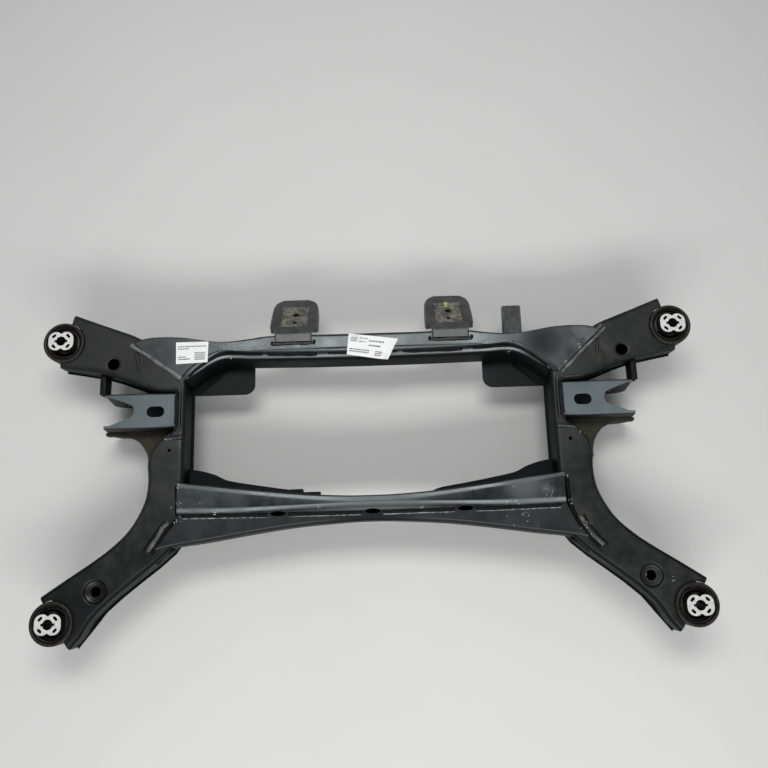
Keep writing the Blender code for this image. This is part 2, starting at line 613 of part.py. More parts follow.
def rear_crossmember(trims, lips, unders, mats, datum):
    """Upper pressing lapped over the arms, and lower pressing that bulges forward below its seam."""
    seam = smooth_curve([(0.323, 0.157), (0.300, 0.181), (0.256, 0.207), (0.200, 0.2065),
                         (0.100, 0.205), (0.0, 0.2045)], 12)
    back = smooth_curve([(0.409, 0.2330), (0.380, 0.2400), (0.330, 0.2395), (0.276, BACK_Y - 0.006),
                         (0.245, BACK_Y - 0.008), (0.205, BACK_Y - 0.004), (0.170, BACK_Y),
                         (0.080, BACK_Y), (0.0, BACK_Y)], 12)
    seam = mirrored([tuple(p) for p in seam])
    back = mirrored([tuple(p) for p in back])
    top = SKIN_Z + GAP + SHEET
    radius = 0.006
    lip = 0.009
    section = [(0, 0, top - REAR_SEAM_DROP, 0), (0, lip, top, 0)]
    section += list(reversed(fold(1, 0, top, radius, -1))) + [(1, 0, top - REAR_TOP_DEPTH, 0)]
    section += [(1, -SHEET, top - REAR_TOP_DEPTH, 0)]
    section += fold(1, -SHEET, top - SHEET, radius - SHEET, -1)
    section += [(0, lip + 0.0005, top - SHEET, 0), (0, 0, top - REAR_SEAM_DROP - SHEET, 0)]
    upper = add_object("rear_crossmember_top", ruled_loft(1, seam, back, section), mats["coat_blue"],
                       datum)
    for side in (1, -1):
        boolean(upper, trims[side])
    room = block_section(top + GAP, top - REAR_TOP_DEPTH - GAP, GAP)
    trim = add_cutter("trim_rear_crossmember", ruled_loft(1, seam, back, room), datum)

    reach = [(0.3345, 0.1560), (0.3215, 0.1685), (0.300, 0.1830), (0.256, 0.2070), (0.200, 0.2065),
             (0.100, 0.2050), (0.0, 0.2045)]
    line = mirrored([tuple(p) for p in smooth_curve(reach, 11)])
    rear = [(x, REAR_BASE_BACK) for x, _ in line]
    high = top - REAR_SEAM_DROP - SHEET - GAP
    low = REAR_BASE_Z
    sheet = BASE_SHEET
    wall = SHEET + GAP
    bulge = [(0, 0.006, high), (0, -0.004, high - 0.001), (0, -REAR_LEDGE, high - 0.003),
             (0, -REAR_LEDGE - 0.004, high - 0.008), (0, -REAR_LEDGE - 0.006, high - 0.016),
             (0, -REAR_LEDGE - 0.008, low + 0.012), (0, -REAR_LEDGE - 0.006, low + 0.004),
             (0, -REAR_LEDGE, low)]
    outer = [(t, d, z, 0) for t, d, z in bulge] + [(1, -0.004, low, 0), (1, 0, low + 0.004, 0),
                                                   (1, 0, high - 0.012, 0)]
    inner = [(1, -sheet, high - 0.012, 0), (1, -sheet, low + 0.005, 0), (1, -0.005, low + sheet, 0),
             (0, -REAR_LEDGE + 0.001, low + sheet, 0), (0, -REAR_LEDGE - 0.0038, low + 0.006, 0),
             (0, -REAR_LEDGE - 0.0055, low + 0.0125, 0), (0, -REAR_LEDGE - 0.0035, high - 0.0165, 0),
             (0, -REAR_LEDGE - 0.0015, high - 0.0095, 0), (0, -REAR_LEDGE + 0.0015, high - 0.0055, 0),
             (0, -0.004, high - 0.0035, 0), (0, 0.006, high - sheet, 0)]
    base = add_object("rear_crossmember_base", ruled_loft(1, line, rear, outer + inner), mats["coat"],
                      datum)
    for side in (1, -1):
        boolean(base, trims[side])
        boolean(base, lips[side])
        boolean(base, unders[side])
    return trim


def front_crossmember(trims, lips, unders, mats, datum):
    """Waisted crossmember: a folded top pressing lapped over a deep lower pressing."""
    seam = smooth_curve([(FRONT_END_X, -0.0668), (0.200, -0.0686), (0.0, -0.0690)], 9)
    crest = smooth_curve([(FRONT_END_X, -0.0130), (0.300, -0.0170), (0.188, -0.0310), (0.105, -0.0400),
                          (0.040, -0.0440), (0.0, -0.0445)], 9)
    seam = mirrored([tuple(p) for p in seam])
    crest = mirrored([tuple(p) for p in crest])
    lap = SKIN_Z + GAP + SHEET
    edge_z = lap + GAP + SHEET
    top = edge_z + FRONT_FACE_RISE
    radius = 0.005
    section = [(0, 0, edge_z, 0), (0, FRONT_TOP_FACE, top, 0)]
    section += list(reversed(fold(1, 0, top, radius, -1))) + [(1, 0, FRONT_LEDGE_Z, 0)]
    section += [(1, -SHEET, FRONT_LEDGE_Z, 0)] + fold(1, -SHEET, top - SHEET, radius - SHEET, -1)
    section += [(0, FRONT_TOP_FACE + 0.0005, top - SHEET, 0), (0, 0, edge_z - SHEET, 0)]
    upper = add_object("front_crossmember_top", ruled_loft(1, seam, crest, section),
                       mats["coat_blue"], datum)
    for side in (1, -1):
        boolean(upper, trims[side])

    nose = smooth_curve([(LAP_X, -0.1330), (0.335, -0.1215), (0.272, -0.1125), (0.209, -0.1030),
                         (0.125, -0.0925), (0.041, -0.0870), (0.0, -0.0860)], 10)
    tail_points = [(LAP_X, 0.0140), (0.310, 0.0110), (0.270, 0.0010), (0.246, -0.0100),
                   (0.169, -0.0240), (0.120, -0.0315), (0.095, -0.0385), (0.0, -0.0430)]
    rings = []
    for x, y in mirrored([tuple(p) for p in nose]):
        rings.append(front_base_ring(x, y, height_at(tail_points, abs(x)), lap))
    base = add_object("front_crossmember_base", loft(rings), mats["coat"], datum)
    for side in (1, -1):
        boolean(base, trims[side])
        boolean(base, lips[side])
        boolean(base, unders[side])
        reach = LAP_X - FRONT_END_X
        corner = [(FRONT_END_X - 0.001, -0.060), (LAP_X + 0.01, -0.060), (LAP_X + 0.01, -0.150),
                  (LAP_X - 0.004, -0.150), (LAP_X - 0.007, -0.1275), (FRONT_END_X + 0.43 * reach, -0.1080),
                  (FRONT_END_X + 0.18 * reach, -0.0890), (FRONT_END_X, -0.0720)]
        corner_tool = add_cutter("cut_lap_%d" % side,
                                 prism(side, corner, SKIN_Z - ARM_DROP, lap + 0.01), datum)
        boolean(base, corner_tool)
    ledge = FRONT_LEDGE_Z - GAP
    for i, (x0, x1, y1) in enumerate(LEDGE_TABS):
        outline = [(x0, -0.048), (x1, -0.048), (x1, y1), (x0, y1)]
        tab = add_cutter("add_ledge_tab_%d" % i, prism(1, outline, ledge - BASE_SHEET, ledge), datum)
        boolean(base, tab, "UNION")
    for i, x in enumerate(SEAM_HOLES_X):
        lens = [(x + SEAM_HOLE_SIZE[0] * math.cos(2 * math.pi * k / 16),
                 -0.0705 + SEAM_HOLE_SIZE[1] * math.sin(2 * math.pi * k / 16)) for k in range(16)]
        tool = add_cutter("cut_seam_hole_%d" % i, prism(1, lens, lap - 0.02, top + 0.01), datum)
        boolean(upper, tool)
        boolean(base, tool)


def height_at(points, x):
    """Second coordinate of a polyline at x, whose points run from high x to low x."""
    for (x0, y0), (x1, y1) in zip(points, points[1:]):
        if x1 <= x <= x0:
            return y0 + (y1 - y0) * (x0 - x) / (x0 - x1)
    return points[-1][1]


def front_base_ring(x, nose_y, tail_y, lap):
    """Section of the lower pressing: lap, face, front wall, floor, rear wall and rear ledge."""
    sheet = BASE_SHEET
    low = FRONT_BASE_Z
    ledge = FRONT_LEDGE_Z - GAP
    ridge_y = -0.0635
    wall_y = tail_y - 0.010 - 0.12 * max(0.0, abs(x) - 0.10)
    face = lap - FACE_DROP * min(1.0, max(0.0, (0.30 - abs(x)) / 0.06))
    plan = [(ridge_y, lap), (nose_y + 0.007, face), (nose_y + 0.002, face - 0.003),
            (nose_y, face - 0.009), (nose_y, low + 0.005), (nose_y + 0.005, low), (wall_y - 0.005, low),
            (wall_y, low + 0.005), (wall_y, ledge - sheet), (tail_y, ledge - sheet), (tail_y, ledge),
            (wall_y - sheet, ledge), (wall_y - sheet, low + 0.006), (wall_y - 0.006, low + sheet),
            (nose_y + 0.006, low + sheet), (nose_y + sheet, low + 0.006), (nose_y + sheet, face - 0.010),
            (nose_y + 0.004, face - 0.005), (nose_y + 0.0075, face - sheet), (ridge_y, lap - sheet)]
    return [(x, y, z) for y, z in plan]


def mount_bracket(tag, mats, datum):
    """Pressed bracket: a tab on the crossmember, a bend, and a sloping dished plate with side flanges."""
    centre = MOUNT_X[tag]
    base_z = SKIN_Z + GAP + SHEET + GAP + SHEET
    bend_steps = 5
    bend_radius = 0.010
    path = [(MOUNT_TAB_Y, base_z, 0.0)]
    for i in range(bend_steps + 1):
        angle = MOUNT_SLOPE * i / bend_steps
        path.append((MOUNT_BEND_Y + bend_radius * math.sin(angle),
                     base_z - bend_radius * (1 - math.cos(angle)), angle))
    start_y, start_z, _ = path[-1]
    for run in (0.006, 0.013, 0.024, 0.066, 0.080, MOUNT_LENGTH - 0.007, MOUNT_LENGTH):
        path.append((start_y + run * math.cos(MOUNT_SLOPE), start_z - run * math.sin(MOUNT_SLOPE),
                     MOUNT_SLOPE))
    widths = [MOUNT_TAB_WIDTH] * 7 + [MOUNT_TAB_WIDTH + 0.004, MOUNT_WIDTH - 0.004, MOUNT_WIDTH,
                                      MOUNT_WIDTH - 0.002, MOUNT_WIDTH - 0.006, MOUNT_WIDTH - 0.014,
                                      MOUNT_WIDTH - 0.034]
    flanges = [0.0] * 7 + [0.004, 0.010, MOUNT_FLANGE, MOUNT_FLANGE, 0.012, 0.009, 0.005]
    rings = []
    for (y, z, angle), width, flange in zip(path, widths, flanges):
        half = 0.5 * width
        depth = SHEET + flange
        points = [(-half, -depth), (-half, -0.002), (-half + 0.002, 0.0), (half - 0.002, 0.0),
                  (half, -0.002), (half, -depth), (half - SHEET, -depth),
                  (half - SHEET - 0.0005, -SHEET - 0.0002), (-half + SHEET + 0.0005, -SHEET - 0.0002),
                  (-half + SHEET, -depth)]
        rings.append([(centre + u, y + w * math.sin(angle), z + w * math.cos(angle)) for u, w in points])
    obj = add_object("mount_bracket_" + tag, loft(rings), mats["dusty"], datum)

    place = (Matrix.Translation((centre, start_y, start_z)) @ Matrix.Rotation(-MOUNT_SLOPE, 4, "X"))
    spot = MOUNT_DISH
    under_z = -0.0070
    under = prism(1, rounded_box(spot, 0.056, 0.060, 0.010), under_z, -0.0016, 0.12, spot)
    dish = prism(1, rounded_box(spot, 0.051, 0.055, 0.008), -0.0040, 0.0002, 0.10, spot)
    bolt = (spot[0] + 0.001, spot[1] + 0.008)
    holes = [circle(bolt, MOUNT_HOLE_RADIUS, 16), circle((spot[0], spot[1] - 0.015), MOUNT_PIN_RADIUS, 12)]
    tools = [("add_dish_", under, "UNION"), ("cut_dish_", dish, "DIFFERENCE")]
    tools += [("cut_mount_hole_%d_" % i, prism(1, ring, -0.02, 0.01), "DIFFERENCE")
              for i, ring in enumerate(holes)]
    for name, bm, operation in tools:
        bmesh.ops.transform(bm, matrix=place, verts=bm.verts)
        boolean(obj, add_cutter(name + tag, bm, datum), operation)

    width, length, height = MOUNT_NUT
    block = prism(1, rounded_box((bolt[0], bolt[1] - 0.010), width, length, 0.005, 3),
                  under_z - GAP - height, under_z - GAP)
    thread = prism(1, circle(bolt, MOUNT_HOLE_RADIUS - 0.001, 16), -0.03, 0.01)
    for bm in (block, thread):
        bmesh.ops.transform(bm, matrix=place, verts=bm.verts)
    nut = add_object("mount_nut_" + tag, block, mats["coat"], datum)
    boolean(nut, add_cutter("cut_nut_" + tag, thread, datum))


def hanger_bracket(trim, mats, datum):
    """Small folded bracket on the rear wall of the rear crossmember, on the right only."""
    top = SKIN_Z - 0.022
    section = [(-0.017, -0.004), (-0.014, 0.0), (0.014, 0.0), (0.017, -0.004), (0.017, -0.020),
               (0.0145, -0.020), (0.0145, -0.0050), (0.0130, -0.0027), (-0.0130, -0.0027),
               (-0.0145, -0.0050), (-0.0145, -0.0120), (-0.017, -0.0120)]
    rings = []
    for x, y, z in ((0.2585, BACK_Y - 0.0105, top), (0.2600, BACK_Y + 0.025, top - 0.006),
                    (0.2635, BACK_Y + 0.057, top - 0.024)):
        rings.append([(x + u, y, z + w) for u, w in section])
    obj = add_object("hanger_bracket", loft(rings), mats["coat_blue"], datum)
    boolean(obj, trim)


def round_hole(side, spot, radius, y_low, y_high):
    ring = [(spot[0] + radius * math.cos(2 * math.pi * i / 16),
             spot[1] + radius * math.sin(2 * math.pi * i / 16)) for i in range(16)]
    return upright_plate(side, ring, y_low, y_high)


def cup_outline(x0, x1, y0, y1, front_radius, back_radius):
    """Plan outline open to the outside, with two round corners on the inside."""
    points = [(x1, y0)]
    for cx, cy, radius, start in ((x0 + front_radius, y0 + front_radius, front_radius, 270),
                                  (x0 + back_radius, y1 - back_radius, back_radius, 180)):
        for i in range(5):
            angle = math.radians(start - 90 * i / 4)
            points.append((cx + radius * math.cos(angle), cy + radius * math.sin(angle)))
    return points + [(x1, y1)]


def rear_link_bracket(side, tag, mats, datum):
    """Pressed cup under the rear crossmember, open to the outside, with drawn-in walls."""
    x0, x1 = REAR_LINK_X
    y0, y1 = REAR_LINK_Y
    top = REAR_BASE_Z - GAP
    sheet = BRACKET_SHEET
    low = REAR_LINK_Z
    body = prism(side, cup_outline(x0, x1, y0, y1, 0.018, 0.008), low, top, REAR_LINK_DRAFT, (x1, y1))
    obj = add_object("rear_link_bracket_" + tag, body, mats["coat"], datum)
    room = prism(side, cup_outline(x0 + sheet, x1 + 0.02, y0 + sheet, y1 - sheet, 0.0145, 0.0045),
                 low - 0.0004, top - sheet, REAR_LINK_DRAFT, (x1, y1 - sheet))
    boolean(obj, add_cutter("cut_cup_room_" + tag, room, datum))
    lobe = (x1 - 0.024, low + 0.021)
    below = [(x0 - 0.01, low - 0.01), (x0 - 0.01, low + 0.022), (x0 + 0.040, low + 0.018)]
    for i in range(9):
        angle = math.radians(235 + 125 * i / 8)
        below.append((lobe[0] + 0.021 * math.cos(angle), lobe[1] + 0.021 * math.sin(angle)))
    below += [(x1 + 0.01, lobe[1]), (x1 + 0.01, low - 0.01)]
    boolean(obj, add_cutter("cut_cup_foot_" + tag, upright_plate(side, below, y0 - 0.01, y1 + 0.01), datum))
    bolt = round_hole(side, lobe, BOLT_RADIUS, y0 - 0.01, y1 + 0.01)
    boolean(obj, add_cutter("cut_cup_bolt_" + tag, bolt, datum))


def front_link_bracket(side, tag, mats, datum):
    """Clevis under the side member: a top plate and two flanges with a bolt hole each."""
    x0, x1 = FRONT_LINK_X
    y0, y1 = FRONT_LINK_Y
    top = SKIN_Z - SIDE_DEPTH - BASE_SHEET - 2 * GAP
    sheet = BRACKET_SHEET
    lobe = (0.5 * (x0 + x1), LINK_BOLT_Z)
    profile = [(x0, top), (x1, top), (x1, top - 0.022)]
    for i in range(11):
        angle = math.radians(10 - 200 * i / 10)
        profile.append((lobe[0] + LINK_LOBE_RADIUS * math.cos(angle),
                        lobe[1] + LINK_LOBE_RADIUS * math.sin(angle)))
    profile.append((x0, top - 0.022))
    body = upright_plate(side, profile, y0, y1)
    obj = add_object("front_link_bracket_" + tag, body, mats["coat"], datum)
    room = [(x0 - 0.01, -0.01), (x0 - 0.01, top - sheet), (x1 + 0.01, top - sheet), (x1 + 0.01, -0.01)]
    boolean(obj, add_cutter("cut_clevis_room_" + tag,
                            upright_plate(side, room, y0 + sheet, y1 - sheet), datum))
    bolt = round_hole(side, lobe, BOLT_RADIUS, y0 - 0.01, y1 + 0.01)
    boolean(obj, add_cutter("cut_clevis_bolt_" + tag, bolt, datum))


def build():
    clear_scene()
    datum = bpy.data.objects.new("frame_datum", None)
    bpy.context.scene.collection.objects.link(datum)
    datum.location = (0.0, -ORIGIN_Y, 0.0)
    mats = {
        "coat": material("black_coat", COAT, 0.42, 0.0),
        "coat_blue": material("satin_coat", COAT_BLUE, 0.36, 0.0),
        "dusty": material("dusty_coat", DUSTY, 0.75, 0.0),
        "rubber": material("bush_rubber", RUBBER, 0.62, 0.0),
        "steel": material("sleeve_steel", STEEL, 0.45, 0.6),
        "aluminium": material("core_aluminium", ALUMINIUM, 0.38, 0.9),
    }
    rails = SideRails()
    trims = {}
    lips = {}
    unders = {}
    for side, tag in ((-1, "l"), (1, "r")):
        side_member_top(side, tag, rails, mats["coat"], datum)
        side_member_base(side, tag, rails, mats["coat"], datum)
        trims[side] = side_envelope(side, tag, rails, datum)
        lips[side] = lip_envelope(side, tag, rails, datum)
        unders[side] = under_envelope(side, tag, datum)
        bush(REAR_BUSH, side, "rear_" + tag, mats, datum)
        bush(FRONT_BUSH, side, "front_" + tag, mats, datum)
        bracket = link_bracket(side, tag, mats, datum)
        boolean(bracket, lips[side])
        boolean(bracket, trims[side])
        link_strut(side, tag, trims, mats, datum)
        link_gusset(side, tag, lips, mats, datum)
        rear_link_bracket(side, tag, mats, datum)
        front_link_bracket(side, tag, mats, datum)
        mount_bracket(tag, mats, datum)
    rear_trim = rear_crossmember(trims, lips, unders, mats, datum)
    front_crossmember(trims, lips, unders, mats, datum)
    hanger_bracket(rear_trim, mats, datum)


build()
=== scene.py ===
"""Looks of a pressed and welded axle subframe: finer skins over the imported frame, weld beads,
coats, dust, labels and a plain studio. Metres, +Z up; plan places are taken from the middle of
the four bushes and moved by SHIFT_Y into the frame's own axes."""
from math import atan2, copysign, cos, exp, pi, radians, sin, sqrt
import random

import bmesh
import bpy
from mathutils import Matrix, Vector, noise


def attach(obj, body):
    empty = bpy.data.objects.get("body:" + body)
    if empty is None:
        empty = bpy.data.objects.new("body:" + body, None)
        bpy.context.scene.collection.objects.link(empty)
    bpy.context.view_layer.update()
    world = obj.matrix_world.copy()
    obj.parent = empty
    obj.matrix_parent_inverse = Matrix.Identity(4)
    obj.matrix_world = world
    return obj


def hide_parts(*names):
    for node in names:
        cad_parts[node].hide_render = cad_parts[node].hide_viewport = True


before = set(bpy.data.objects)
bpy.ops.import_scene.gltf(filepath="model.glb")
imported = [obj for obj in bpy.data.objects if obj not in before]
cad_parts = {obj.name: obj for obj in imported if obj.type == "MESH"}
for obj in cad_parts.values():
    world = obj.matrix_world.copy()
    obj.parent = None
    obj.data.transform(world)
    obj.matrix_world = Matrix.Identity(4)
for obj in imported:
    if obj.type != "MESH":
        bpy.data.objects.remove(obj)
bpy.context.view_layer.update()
scene = bpy.context.scene

SHIFT_Y = -0.01965
GAP = 0.0003
SHEET = 0.003
BASE_SHEET = 0.0025
BRACKET_SHEET = 0.0035
SKIN_Z = 0.136
ARM_DROP = 0.0025
NECK_DROP = 0.003
SIDE_DEPTH = 0.055
ARM_RISE = 0.016
EDGE_RADIUS = 0.008
REAR_BUSH = (0.53, 0.235)
FRONT_BUSH = (0.522, -0.235)
HOUSING_RADIUS = 0.0355
WINDOW_X = 0.316
NECK_X = 0.335
LINK_Y = (0.083, 0.145)
LINK_WEB_Z = SKIN_Z - 0.018
LAP_Z = SKIN_Z + GAP + SHEET
MOUNT_X = {"l": -0.129, "r": 0.1455}
MOUNT_SLOPE = radians(37)
FRONT_ARM_Y = -0.13
TOOLING_HOLE = (0.443, 0.195)
ARM_CUP = (0.455, -0.1875)
LINK_BOLT = (0.45, 0.026)
BOLT_RADIUS = 0.007
LENS_X = (-0.155, 0.002, 0.156)
LENS_Y = -0.0705
LENS_HALF = (0.013, 0.004)
CORE_SIZE = (0.043, 0.0325)
CORE_CORNER = 0.0125
CORE_RISE = 0.0145
BUSH_DEPTH = 0.06
VOID_RADII = (0.0235, 0.0185)
VOID_SWEEP = radians(66)
ARM_STEPS = 26
FRONT_STEPS = 40
BEVEL_ANGLE = radians(40)
SHARP_ANGLE = radians(30)
RECESS_Y = (0.2535, 0.302)
REAR_BASE_LOW = 0.076
FRONT_BASE_LOW = 0.062
CAMERA_PLACE = (0.027, -0.123, 1.374)
CAMERA_AIM = (0.0, 0.2113, -0.9774)
CAMERA_ROLL = radians(1.73)
CAMERA_LENS = 34.45


# Mesh helpers

def mm(*rows):
    """Rows of lengths in millimetres, as tuples in metres."""
    return [tuple(round(value / 1000, 7) for value in row) for row in rows]


def smooth_curve(points, count):
    """Catmull-Rom curve through the points, sampled at even lengths."""
    pts = [Vector(p) for p in points]
    pts = [2 * pts[0] - pts[1]] + pts + [2 * pts[-1] - pts[-2]]
    fine = []
    for i in range(1, len(pts) - 2):
        a, b, c, d = pts[i - 1:i + 3]
        for k in range(16):
            t = k / 16
            fine.append(0.5 * (2 * b + (c - a) * t + (2 * a - 5 * b + 4 * c - d) * t * t
                               + (3 * b - a - 3 * c + d) * t ** 3))
    fine.append(pts[-2])
    lengths = [0.0]
    for p, q in zip(fine, fine[1:]):
        lengths.append(lengths[-1] + (q - p).length)
    samples = []
    j = 0
    for k in range(count):
        target = lengths[-1] * k / (count - 1)
        while j < len(fine) - 2 and lengths[j + 1] < target:
            j += 1
        span = max(1e-9, lengths[j + 1] - lengths[j])
        samples.append(fine[j].lerp(fine[j + 1], (target - lengths[j]) / span))
    return samples


def eased(share):
    """A smooth step from 0 to 1."""
    share = max(0.0, min(1.0, share))
    return share * share * (3 - 2 * share)


def rectangle(x0, x1, y0, y1):
    return [(x0, y0), (x1, y0), (x1, y1), (x0, y1)]


def mirrored(points):
    points = [(p[0], p[1]) for p in points]
    return [(-x, y) for x, y in points] + [(x, y) for x, y in reversed(points) if x > 1e-6]


def flipped(points):
    return [(-u, w) for u, w in reversed(points)]


def loft(rings, bm=None):
    """Skin the rings in order and cap both ends."""
    if bm is None:
        bm = bmesh.new()
    layers = [[bm.verts.new(p) for p in ring] for ring in rings]
    size = len(layers[0])
    for low, high in zip(layers, layers[1:]):
        for i in range(size):
            j = (i + 1) % size
            bm.faces.new((low[i], low[j], high[j], high[i]))
    bm.faces.new(layers[0])
    bm.faces.new(list(reversed(layers[-1])))
    return bm


def slab(bm, upper, lower):
    """Join two rings of points into a thin closed plate, and give its faces."""
    upper = [bm.verts.new(p) for p in upper]
    lower = [bm.verts.new(p) for p in lower]
    faces = [bm.faces.new(upper), bm.faces.new(list(reversed(lower)))]
    for k in range(len(upper)):
        m = (k + 1) % len(upper)
        faces.append(bm.faces.new((upper[m], upper[k], lower[k], lower[m])))
    return faces


def ruled_loft(side, rail_a, rail_b, section, lifts=None, feet=None):
    """Carry a section of (share, offset, height, follows lift or foot) along two rails."""
    lifts = lifts or [0.0] * len(rail_a)
    feet = feet or [0.0] * len(rail_a)
    rings = []
    for a, b, lift, foot in zip(rail_a, rail_b, lifts, feet):
        a = Vector((a[0], a[1]))
        b = Vector((b[0], b[1]))
        way = (b - a).normalized()
        ring = []
        for t, d, z, k in section:
            p = a.lerp(b, t) + way * d
            ring.append((side * p.x, p.y, z + k * lift + (1 - k) * foot))
        rings.append(ring)
    return loft(rings)


def fold(t, d, z, radius, inward, steps=5):
    """Section points of a rolled edge, from its wall up to its flat."""
    points = []
    for i in range(steps + 1):
        angle = 0.5 * pi * i / steps
        points.append((t, d + inward * radius * (1 - cos(angle)),
                       z - radius + radius * sin(angle), 1))
    return points


def channel_section(top, bottom, radius, sheet):
    """Section of a pressing open below, with a rolled edge on both sides."""
    outer = [(0, 0, bottom, 0)] + fold(0, 0, top, radius, 1) + [(0.33, 0, top, 1), (0.67, 0, top, 1)]
    outer += list(reversed(fold(1, 0, top, radius, -1))) + [(1, 0, bottom, 0)]
    small = radius - sheet
    inner = [(1, -sheet, bottom, 0)] + fold(1, -sheet, top - sheet, small, -1)
    inner += list(reversed(fold(0, sheet, top - sheet, small, 1))) + [(0, sheet, bottom, 0)]
    return outer + inner


def prism(side, outline, low, high, shrink=0.0, centre=(0.0, 0.0)):
    rings = []
    for z, scale in ((low, 1.0 - shrink), (high, 1.0)):
        rings.append([(side * (centre[0] + (x - centre[0]) * scale),
                       centre[1] + (y - centre[1]) * scale, z) for x, y in outline])
    return loft(rings)


def polar(centre, radius, angle):
    return centre[0] + radius * cos(angle), centre[1] + radius * sin(angle)


def circle(centre, radius, count=40, depth=None):
    """Points of a circle, or of an ellipse with its own depth."""
    depth = depth or radius
    return [(centre[0] + radius * cos(2 * pi * i / count),
             centre[1] + depth * sin(2 * pi * i / count)) for i in range(count)]


def arc(centre, radius, start, sweep, steps):
    """Points along an arc, with its angles in degrees."""
    return [polar(centre, radius, radians(start + sweep * i / steps)) for i in range(steps + 1)]


def rounded_box(centre, width, height, radius, steps=6):
    points = []
    for corner in range(4):
        sx = 1 if corner in (0, 3) else -1
        sy = 1 if corner in (0, 1) else -1
        middle = (centre[0] + sx * (width / 2 - radius), centre[1] + sy * (height / 2 - radius))
        points += [polar(middle, radius, 0.5 * pi * (corner + i / steps)) for i in range(steps + 1)]
    return points


def revolve(centre, profile, count=72, base=0.0):
    """Turn a profile of (radius, height above base) about an upright axis."""
    bm = bmesh.new()
    columns = []
    for i in range(count):
        angle = 2 * pi * i / count
        columns.append([bm.verts.new((*polar(centre, max(r, 1e-5), angle), base + z)) for r, z in profile])
    size = len(profile)
    for a, b in zip(columns, columns[1:] + columns[:1]):
        for k in range(size):
            j = (k + 1) % size
            bm.faces.new((a[k], b[k], b[j], a[j]))
    return bm


def upright_plate(side, profile, y_low, y_high):
    """A plate standing across Y, from its outline in X and Z."""
    return loft([[(side * x, y, z) for x, z in profile] for y in (y_low, y_high)])


def to_object(bm, name):
    mesh = bpy.data.meshes.new(name)
    bm.to_mesh(mesh)
    bm.free()
    obj = bpy.data.objects.new(name, mesh)
    scene.collection.objects.link(obj)
    return obj


def placed(bm, name):
    """Make an object of a mesh drawn about the middle of the bushes."""
    bmesh.ops.recalc_face_normals(bm, faces=bm.faces)
    bmesh.ops.translate(bm, verts=bm.verts, vec=(0, SHIFT_Y, 0))
    return to_object(bm, name)


def raw(bm):
    bmesh.ops.remove_doubles(bm, verts=bm.verts, dist=1e-6)
    return placed(bm, "tool")


def cut(bm):
    return "DIFFERENCE", bm


def add(bm):
    return "UNION", bm


def modify(obj, kind, **settings):
    """Put a modifier on a piece and apply it."""
    modifier = obj.modifiers.new("step", kind)
    for key, value in settings.items():
        setattr(modifier, key, value)
    graph = bpy.context.evaluated_depsgraph_get()
    mesh = bpy.data.meshes.new_from_object(obj.evaluated_get(graph))
    old = obj.data
    obj.modifiers.clear()
    obj.data = mesh
    bpy.data.meshes.remove(old)


def bake(obj, tools=(), bevel=0.0):
    """Apply Booleans and an edge rounding, then smooth the shading."""
    for operation, bm in tools:
        tool = raw(bm)
        modify(obj, "BOOLEAN", operation=operation, solver="EXACT", object=tool)
        mesh = tool.data
        bpy.data.objects.remove(tool, do_unlink=True)
        bpy.data.meshes.remove(mesh)
    if bevel:
        modify(obj, "BEVEL", width=bevel, segments=2, limit_method="ANGLE", angle_limit=BEVEL_ANGLE,
               use_clamp_overlap=True)
    obj.data.shade_smooth()
    obj.data.set_sharp_from_angle(angle=SHARP_ANGLE)
    obj.modifiers.new("normals", "WEIGHTED_NORMAL").keep_sharp = True
    return obj


def dress(obj, name, mat, slot, *nodes):
    """Name a piece, give it its material, and say which nodes it replaces. The slot is not used."""
    obj.name = name
    if obj.data.materials:  # clear() would also reset the faces' material indices
        obj.data.materials.clear()
    obj.data.materials.append(mat)
    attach(obj, "root")
    if nodes:
        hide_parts(*nodes)
    return obj


def darken_walls(obj, limit=0.35, below=0.0, front_limit=0.35):
    """Paint shade on steep faces, and on all faces under a height, by giving them the near-black wall shade
    coat.
    """
    obj.data.materials.append(wall_shade_coat)
    for face in obj.data.polygons:
        steep = front_limit if face.center.y < FRONT_ARM_Y else limit
        if face.normal.z < steep or face.center.z < below:
            face.material_index = 1


# Materials

